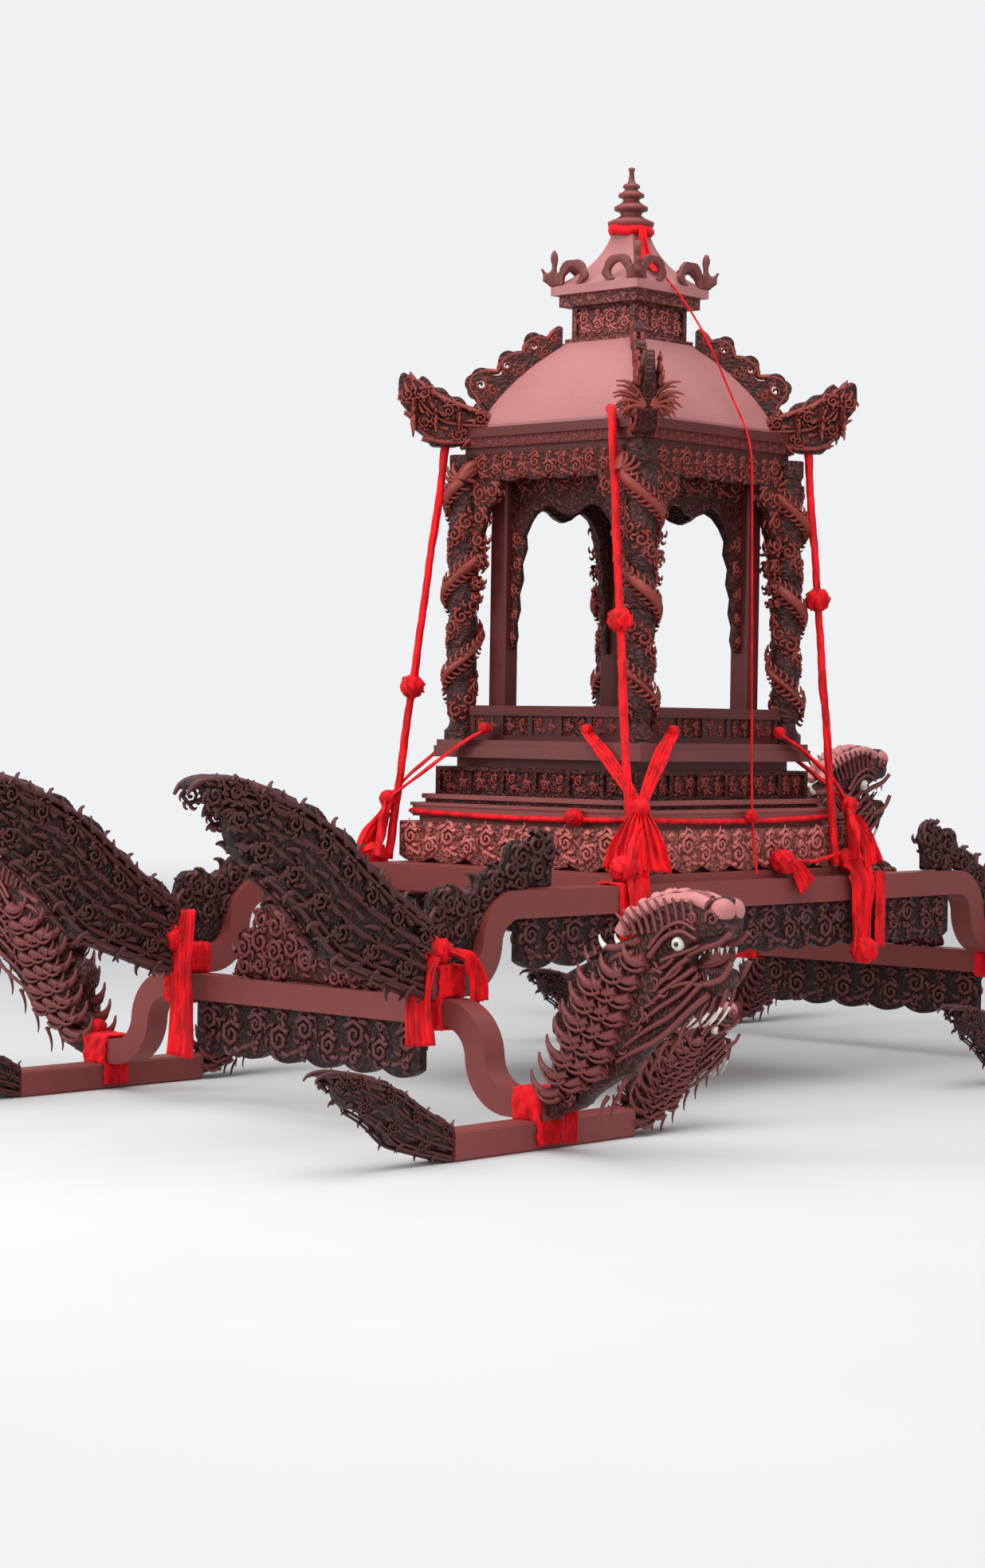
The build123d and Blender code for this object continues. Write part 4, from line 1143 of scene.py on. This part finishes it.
# Rim of a hip crest from the eave to the drum, and its whorls, in shares of the hip's run and rise
hip_top, hip_foot = 0.140, 0.325
hip_run = (hip_foot - hip_top) * math.sqrt(2)
hip_rise = 0.263
hip_level = 1.943
hip_rim = (
    (0.90, 0.12), (0.95, 0.34), (1.08, 0.46), (1.05, 0.62), (0.88, 0.68), (0.72, 0.65), (0.74, 0.76),
    (0.58, 0.88), (0.44, 0.87), (0.45, 0.99), (0.30, 1.08), (0.18, 1.03), (0.12, 1.14), (0.03, 1.17),
)
hip_whorls = (
    (0.94, 0.51, 0.022), (0.64, 0.74, 0.020), (0.34, 0.96, 0.019), (0.80, 0.45, 0.015), (0.50, 0.68, 0.015),
    (0.21, 0.90, 0.014), (0.12, 1.05, 0.012),
)
crest = [ridge([(along * hip_run, up * hip_rise) for along, up in hip_rim], 0.0075, 0.010, 1.0, 40)]
for i, (along, up, reach) in enumerate(hip_whorls):
    crest += whorl((along * hip_run, up * hip_rise), reach, (-1) ** i, 0.0052, 0.014, turns=1.3, leaves=5)
strands = []
for way in diagonals:
    strands += Plate(diagonal_point(way, hip_top, hip_level), way).both(crest)
add_strands("hip_crest_scrolls", strands, "carving")
carve_core("upper_curls", "upper_corners", "dragon", voxel=0.006, shrink=0.0, smooth=3)


# Mouldings, panels and the finial

def four_boards(name, finish, size, out, level):
    """Level boards of one size, centred at a distance and height on the pavilion's four sides."""
    bm = bmesh.new()
    for turn in range(4):
        place = Matrix.Translation((0, -out, level)) @ Matrix.Diagonal((*size, 1.0))
        bmesh.ops.create_cube(bm, size=1.0, matrix=quarter_turn(turn, 4) @ place)
    bmesh.ops.translate(bm, verts=bm.verts, vec=(pavilion_x, 0, 0))
    new_piece(name, as_mesh(bm, name), finish).data.shade_flat()


four_boards("balustrade_panels", "ground", (0.620, 0.006, 0.070), rail_face + 0.002, rail_low[2] + 0.048)
four_boards("sill_moulding", "base", (0.852, 0.020, 0.014), 0.416, 0.845)
four_boards("step_moulding", "base", (0.900, 0.020, 0.010), 0.440, 0.821)

# Half section of the finial: radius and height
finial_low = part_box("finial")[0]
finial_section = (
    (0.000, 0.000), (0.047, 0.000), (0.050, 0.010), (0.068, 0.020), (0.070, 0.031), (0.046, 0.042),
    (0.031, 0.052), (0.034, 0.062), (0.050, 0.068), (0.051, 0.077), (0.034, 0.087), (0.024, 0.096),
    (0.026, 0.103), (0.039, 0.108), (0.039, 0.116), (0.024, 0.125), (0.018, 0.131), (0.026, 0.136),
    (0.025, 0.143), (0.012, 0.151), (0.009, 0.160), (0.007, 0.184), (0.010, 0.188), (0.010, 0.194),
    (0.000, 0.198),
)


def finial_turning():
    """Turned finial: stacked discs that shrink upwards below a plain spike."""
    bm = bmesh.new()
    verts = [bm.verts.new((radius, 0, level)) for radius, level in finial_section]
    edges = [bm.edges.new(pair) for pair in zip(verts, verts[1:])]
    bmesh.ops.spin(
        bm, geom=verts + edges, cent=(0, 0, 0), axis=(0, 0, 1), angle=2 * pi, steps=40, use_merge=True)
    bmesh.ops.remove_doubles(bm, verts=bm.verts, dist=0.0001)
    bmesh.ops.translate(bm, verts=bm.verts, vec=(pavilion_x, 0, finial_low[2]))
    bmesh.ops.recalc_face_normals(bm, faces=bm.faces)
    new_piece("finial_turning", as_mesh(bm, "finial_turning"), "beam", ["finial"])


finial_turning()


# Cloth: sashes, straps, bows, bands and lashings

cloth_thick = 0.0012
wound_voxel = 0.0075
# Pitch and depth of the folds of cloth that is wound round beams
band_folds = (0.016, 0.0022)
lashing_folds = (0.020, 0.0028)
band_inwards = 0.038
# Radii of the rosette on a sash, and of the knots on a bow, on the deck and on a strap
sash_rosette, bow_knot, deck_knot, strap_knot = 0.040, 0.030, 0.044, 0.020


def smooth_route(route, count):
    """A number of points along a smoothed line that follows a few places."""
    route = np.array(route, dtype=float)
    travel = np.concatenate(([0.0], np.cumsum(np.linalg.norm(np.diff(route, axis=0), axis=1))))
    fine = np.linspace(0, travel[-1], count)
    line = np.column_stack([np.interp(fine, travel, route[:, axis]) for axis in range(3)])
    for _ in range(max(2, count // 8)):
        softened(line)
    return line


def pleated(side, share, across, out, spread, depth, pleats):
    """Offset from a cloth's route at -1 to 1 of its width: gathered in pleats that wander down its length."""
    fold = sin(pi * pleats * side + 3 * share) + 0.3 * sin(2.3 * pi * side + 9 * share)
    shift = 0.25 / pleats * cos(pi * pleats * side + 5 * share)
    return across * spread * (side + shift) + out * depth * fold


def rolled(side, share, across, out, spread, turns, twist):
    """Offset from a cloth's route at -1 to 1 of its width: rolled up and twisted like rope."""
    angle = pi * turns * side + 2 * pi * twist * share
    reach = spread * (0.55 + 0.45 * (side + 1) / 2) * (1 + 0.10 * sin(5 * side + 14 * share))
    return across * reach * cos(angle) + out * reach * sin(angle)


def cloth_strip(name, route, across, widths, pleats=0, depth=0.0, turns=0.0, twist=0.0,
                rows=24):
    """Sheet hung along a route: pleated across its width, or rolled up where it is given turns."""
    line = smooth_route(route, rows + 1)
    ways = np.gradient(line, axis=0)
    ways /= np.linalg.norm(ways, axis=1)[:, None]
    share = np.linspace(0, 1, rows + 1)
    spread = np.interp(share, np.linspace(0, 1, len(widths)), widths) / 2
    bm = bmesh.new()
    bmesh.ops.create_grid(bm, x_segments=16 if turns else 4 * pleats, y_segments=rows, size=1)
    for vert in bm.verts:
        side, row = vert.co.x, round((1 - vert.co.y) / 2 * rows)
        level = np.array(across, dtype=float)
        level -= ways[row] * level.dot(ways[row])
        level /= np.linalg.norm(level)
        place = (side, share[row], level, np.cross(ways[row], level), spread[row])
        vert.co = line[row] + (rolled(*place, turns, twist) if turns else pleated(*place, depth, pleats))
    bmesh.ops.recalc_face_normals(bm, faces=bm.faces)
    area = sum(face.calc_area() for face in bm.faces)
    piece = new_piece(name, evaluated(as_mesh(bm, name), ("SOLIDIFY", {"thickness": cloth_thick})), "cloth")
    length = float(np.linalg.norm(np.diff(line, axis=0), axis=1).sum())
    round(area / length, 3)
    return piece


def cloth_balls(name, places):
    """Bunched cloth flowers and knots, each a place and a radius."""
    bm = bmesh.new()
    for number, (place, radius) in enumerate(places):
        made = bmesh.ops.create_uvsphere(bm, u_segments=22, v_segments=11, radius=1.0)
        for vert in made["verts"]:
            turn, rise = math.atan2(vert.co.y, vert.co.x), math.asin(max(-1.0, min(1.0, vert.co.z)))
            ruffle = sin(6 * turn + 4 * sin(2.5 * rise + number)) + 0.5 * sin(11 * turn - 6 * rise + number)
            vert.co = Vector(place) + vert.co * radius * (0.86 + 0.17 * cos(rise) * ruffle)
    new_piece(name, as_mesh(bm, name), "cloth")


class Corner:
    """One corner of the palanquin, with its cloth: places are given as on the front left corner."""

    def __init__(self, name, end, side):
        self.name, self.end, self.side = name, end, side
        self.beam = "main_beam_" + name.split("_")[1]
        self.outward = (side, -end, 0)

    def at(self, x, y, z):
        return pavilion_x + self.end * x, self.side * y, z

    def route(self, places, drift=0.0):
        return [self.at(x + drift, y, z) for x, y, z in places]

    def wrap(self, name, node, fold_pitch, depth, inwards=0.0):
        """Cloth wound tightly round beams: this corner's solid of a node, remeshed and creased into folds."""
        bm = bmesh.new()
        bm.from_mesh(merged_copy(node))
        away = [v for v in bm.verts if (v.co.x - pavilion_x) * self.end < 0 or v.co.y * self.side < 0]
        bmesh.ops.delete(bm, geom=away, context="VERTS")
        mesh = rounded(as_mesh(bm, name), wound_voxel, 2)
        for vert in mesh.vertices:
            x, y, z = vert.co
            crease = sin(2 * pi * (x + 0.45 * z + 0.35 * y) / fold_pitch + 1.5 * sin(18 * z + 14 * y))
            wrinkle = 0.35 * sin(2 * pi * (y - 0.6 * z) / (0.7 * fold_pitch))
            vert.co += vert.normal * depth * (crease + wrinkle)
            vert.co.x -= self.end * inwards
        new_piece(f"{name}_{self.name}", mesh, "cloth", [node])

    def hang_sash(self, inset, foot_along, rosette_height):
        """Sash twisted like rope, from the eave down to the beam, and the place of its rosette."""
        head, foot = self.at(0.386, 0.386 - inset, 1.885), self.at(0.495 + foot_along, 0.495, beam_top + 0.03)
        route = self.route((
            (0.332, 0.332 - inset, 1.975), (0.372, 0.376 - inset, 1.966), (0.384, 0.386 - inset, 1.935)))
        sash = cloth_strip(
            f"sash_{self.name}", route + [head, foot], self.outward,
            (0.030, 0.024, 0.022, 0.026, 0.023, 0.029),
            turns=2.2, twist=3.0 * self.end * self.side, rows=70)
        if self.name == "front_left":
            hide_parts("corner_sashes")
        share = (rosette_height - foot[2]) / (head[2] - foot[2])
        return tuple(low + (high - low) * share for low, high in zip(foot, head))

    def tie_bow(self, foot_along):
        """Two straps to a bow that fans out to the deck over its lining, and the bow's place."""
        bow = self.at(0.497 + foot_along * 0.3, 0.497, bow_height)
        fan_foot = self.at(0.520 + foot_along * 0.6, 0.520, beam_top + 0.040)
        middle = tuple((a + b) / 2 for a, b in zip(bow, fan_foot))
        for name, places in (
                ("side", ((0.398, 0.20, 1.045), (0.424, 0.27, 1.005), (0.468, 0.40, 0.905))),
                ("end", ((0.25, 0.398, 1.045), (0.32, 0.424, 1.005), (0.44, 0.468, 0.905)))):
            cloth_strip(
                f"strap_{name}_{self.name}", self.route(places) + [bow], self.outward,
                (0.036, 0.046, 0.040, 0.026), pleats=4, depth=0.004)
        cloth_strip(
            f"bow_{self.name}", [bow, middle, fan_foot], self.outward, (0.034, 0.110, 0.165, 0.195),
            pleats=7, depth=0.012)
        lining = self.route(((0.500, 0.500, 0.80), (0.540, 0.520, 0.73), (0.560, 0.530, 0.655)))
        cloth_strip(
            f"bow_lining_{self.name}", lining, (1, 0, 0), (0.028, 0.070, 0.110),
            pleats=5, depth=0.010)
        return bow

    def hang_tail(self, low_end, drift, breadth):
        """Tail of cloth that hangs from the knot on the deck over the side of the beam."""
        places = ((0.555, 0.500, 0.672), (0.590, 0.530, 0.655), (0.600, 0.552, 0.600), (0.598, 0.548, 0.50),
                  (0.592, 0.552, low_end))
        widths = [breadth * width for width in (0.055, 0.090, 0.082, 0.070, 0.062, 0.072)]
        cloth_strip(f"tail_{self.name}", self.route(places, drift), (1, 0, 0), widths,
                    pleats=5, depth=0.007)

    def wind_lashings(self):
        """Band on the beam, and the lashings of the beams and of the pole."""
        self.wrap("band", "beam_bands", *band_folds, band_inwards)
        self.wrap("beam_lashing", "beam_lashings", *lashing_folds)
        self.wrap("pole_lashing", "pole_lashings", *lashing_folds)

    def hang_lashing_ends(self):
        """Loose ends of the lashings: two at the cross-beam and one at the pole."""
        aside, top, low_end = (0.508, 0.465, 0.235) if self.side < 0 else (0.412, 0.535, 0.130)
        cloth_strip(f"lashing_tail_{self.name}", self.route((
            (1.360, aside + 0.010, top), (1.388, aside, 0.425), (1.394, aside - 0.004, 0.36),
            (1.390, aside - 0.008, 0.30), (1.394, aside, low_end))),
            (0, 1, 0), (0.060, 0.085, 0.080, 0.090, 0.100), pleats=5, depth=0.007)
        cloth_strip(f"lashing_end_{self.name}", self.route((
            (1.315, 0.530, 0.480), (1.275, 0.562, 0.462), (1.250, 0.572, 0.405), (1.242, 0.570, 0.345))),
            (1, 0, 0), (0.030, 0.055, 0.062, 0.070), pleats=4, depth=0.007)
        cloth_strip(f"pole_tail_cloth_{self.name}", self.route((
            (1.275, 0.880, 0.168), (1.270, 0.905, 0.150), (1.268, 0.912, 0.09), (1.272, 0.915, 0.018))),
            (1, 0, 0), (0.026, 0.050, 0.046, 0.056), pleats=4, depth=0.005)


bow_height = 0.835
# Each corner's end and side, how far its sash's head is set in and its foot runs out along the beam, its
# rosette's height, then its tail's lowest end, how far along it hangs, and its breadth
corners = (
    ("front_left", 1, 1, 0.0, 0.0, 1.224, 0.43, 0.0, 1.0),
    ("rear_left", -1, 1, 0.0, 0.0, 1.172, 0.43, 0.0, 1.0),
    ("rear_right", -1, -1, 0.120, 0.050, 1.360, 0.30, -0.030, 1.0),
    ("front_right", 1, -1, 0.0, -0.085, 1.450, 0.385, -0.115, 1.4),
)
# Knots at a lashing: place and radius
lashing_knots = (
    ((1.362, 0.480, 0.482), 0.054), ((1.388, 0.452, 0.452), 0.036), ((1.318, 0.498, 0.475), 0.040),
    ((1.386, 0.478, 0.425), 0.034), ((1.280, 0.895, 0.165), 0.030),
)
rosettes, knots = [], []
for name, end, side, inset, foot_along, rosette_height, low_end, drift, breadth in corners:
    corner = Corner(name, end, side)
    rosettes.append((corner.hang_sash(inset, foot_along, rosette_height), sash_rosette))
    bow = corner.tie_bow(foot_along)
    corner.hang_tail(low_end, drift, breadth)
    corner.wind_lashings()
    corner.hang_lashing_ends()
    if name == "front_right":
        knots.append((corner.at(0.478, 0.556, 0.400), 0.046))
    knots += [
        (bow, bow_knot), (corner.at(0.545 + foot_along * 0.9, 0.505, 0.668), deck_knot),
        (corner.at(0.398, 0.20, 1.05), strap_knot), (corner.at(0.25, 0.398, 1.05), strap_knot)]
    knots += [(corner.at(*place), radius) for place, radius in lashing_knots]


def by_pavilion(*places):
    """Places given from the pavilion's middle."""
    return [(pavilion_x + x, y, z) for x, y, z in places]


cord_half, cord_level = 0.452, 0.800
base_cord_radius, roof_cord_radius, deck_cord_radius = 0.0085, 0.0042, 0.0060


def base_rope():
    """Taut cord round the foot of the base, bowed a little outwards and down on each side."""
    rope = []
    for turn in range(4):
        for across in np.linspace(-1, 1, 9)[:-1]:
            dip = 0.010 * (1 - across ** 2)
            bulge = 0.004 * (1 - across ** 4)
            place = Vector((cord_half + bulge, cord_half * across * 0.985, cord_level - dip))
            place.rotate(quarter_turn(turn))
            rope.append((place.x + pavilion_x, place.y, place.z, base_cord_radius))
    return np.array(rope + rope[:1])


# Cords round the base, from the upper roof down to the deck, and from the front right knot to the deck's bow
roof_cord = smooth_route(by_pavilion(
    (-0.012, -0.062, 2.548), (-0.022, -0.070, 2.480), (-0.026, -0.112, 2.425), (-0.022, -0.176, 2.382),
    (0.010, -0.200, 2.330), (0.060, -0.268, 2.190), (0.105, -0.345, 1.972), (0.106, -0.388, 1.940),
    (0.070, -0.425, 1.500), (0.022, -0.474, 0.810), (0.018, -0.494, 0.690), (0.018, -0.500, 0.640)), 60)
deck_cord = smooth_route(by_pavilion(
    (0.430, -0.500, 0.690), (0.290, -0.508, 0.668), (0.140, -0.504, 0.676)), 16)
cords = [base_rope(), np.insert(roof_cord, 3, roof_cord_radius, axis=1),
         np.insert(deck_cord, 3, deck_cord_radius, axis=1)]
add_strands("base_cord", cords, "cloth")
rosettes += zip(by_pavilion((-0.470, -0.216, 0.800), (0.022, -0.474, 0.805), (0.135, -0.505, 0.672)),
                (0.030, 0.022, 0.042))
cloth_strip("deck_bow", by_pavilion((0.135, -0.510, 0.680), (0.168, -0.530, 0.655), (0.205, -0.545, 0.595)),
            (1, 0, 0), (0.034, 0.064, 0.095), pleats=4, depth=0.008)
cloth_balls("rosettes", rosettes)
cloth_balls("knots", knots)

# Scarf round the finial's foot, and its loose end
ring = []
for i in range(25):
    turn = 2 * pi * i / 24
    out = 0.056 + 0.004 * sin(5 * turn)
    level = finial_low[2] + 0.006 + 0.005 * sin(3 * turn)
    ring.append((pavilion_x + out * cos(turn), out * sin(turn), level))
cloth_strip("finial_scarf", ring, (0, 0, 1), (0.026, 0.034, 0.026),
            turns=1.6, rows=60)
cloth_strip("scarf_tail", by_pavilion(
    (-0.020, -0.062, 2.548), (-0.030, -0.070, 2.500), (-0.034, -0.092, 2.450), (-0.036, -0.140, 2.405)),
    (1, 0, 0), (0.030, 0.046, 0.050, 0.038), pleats=4, depth=0.004)
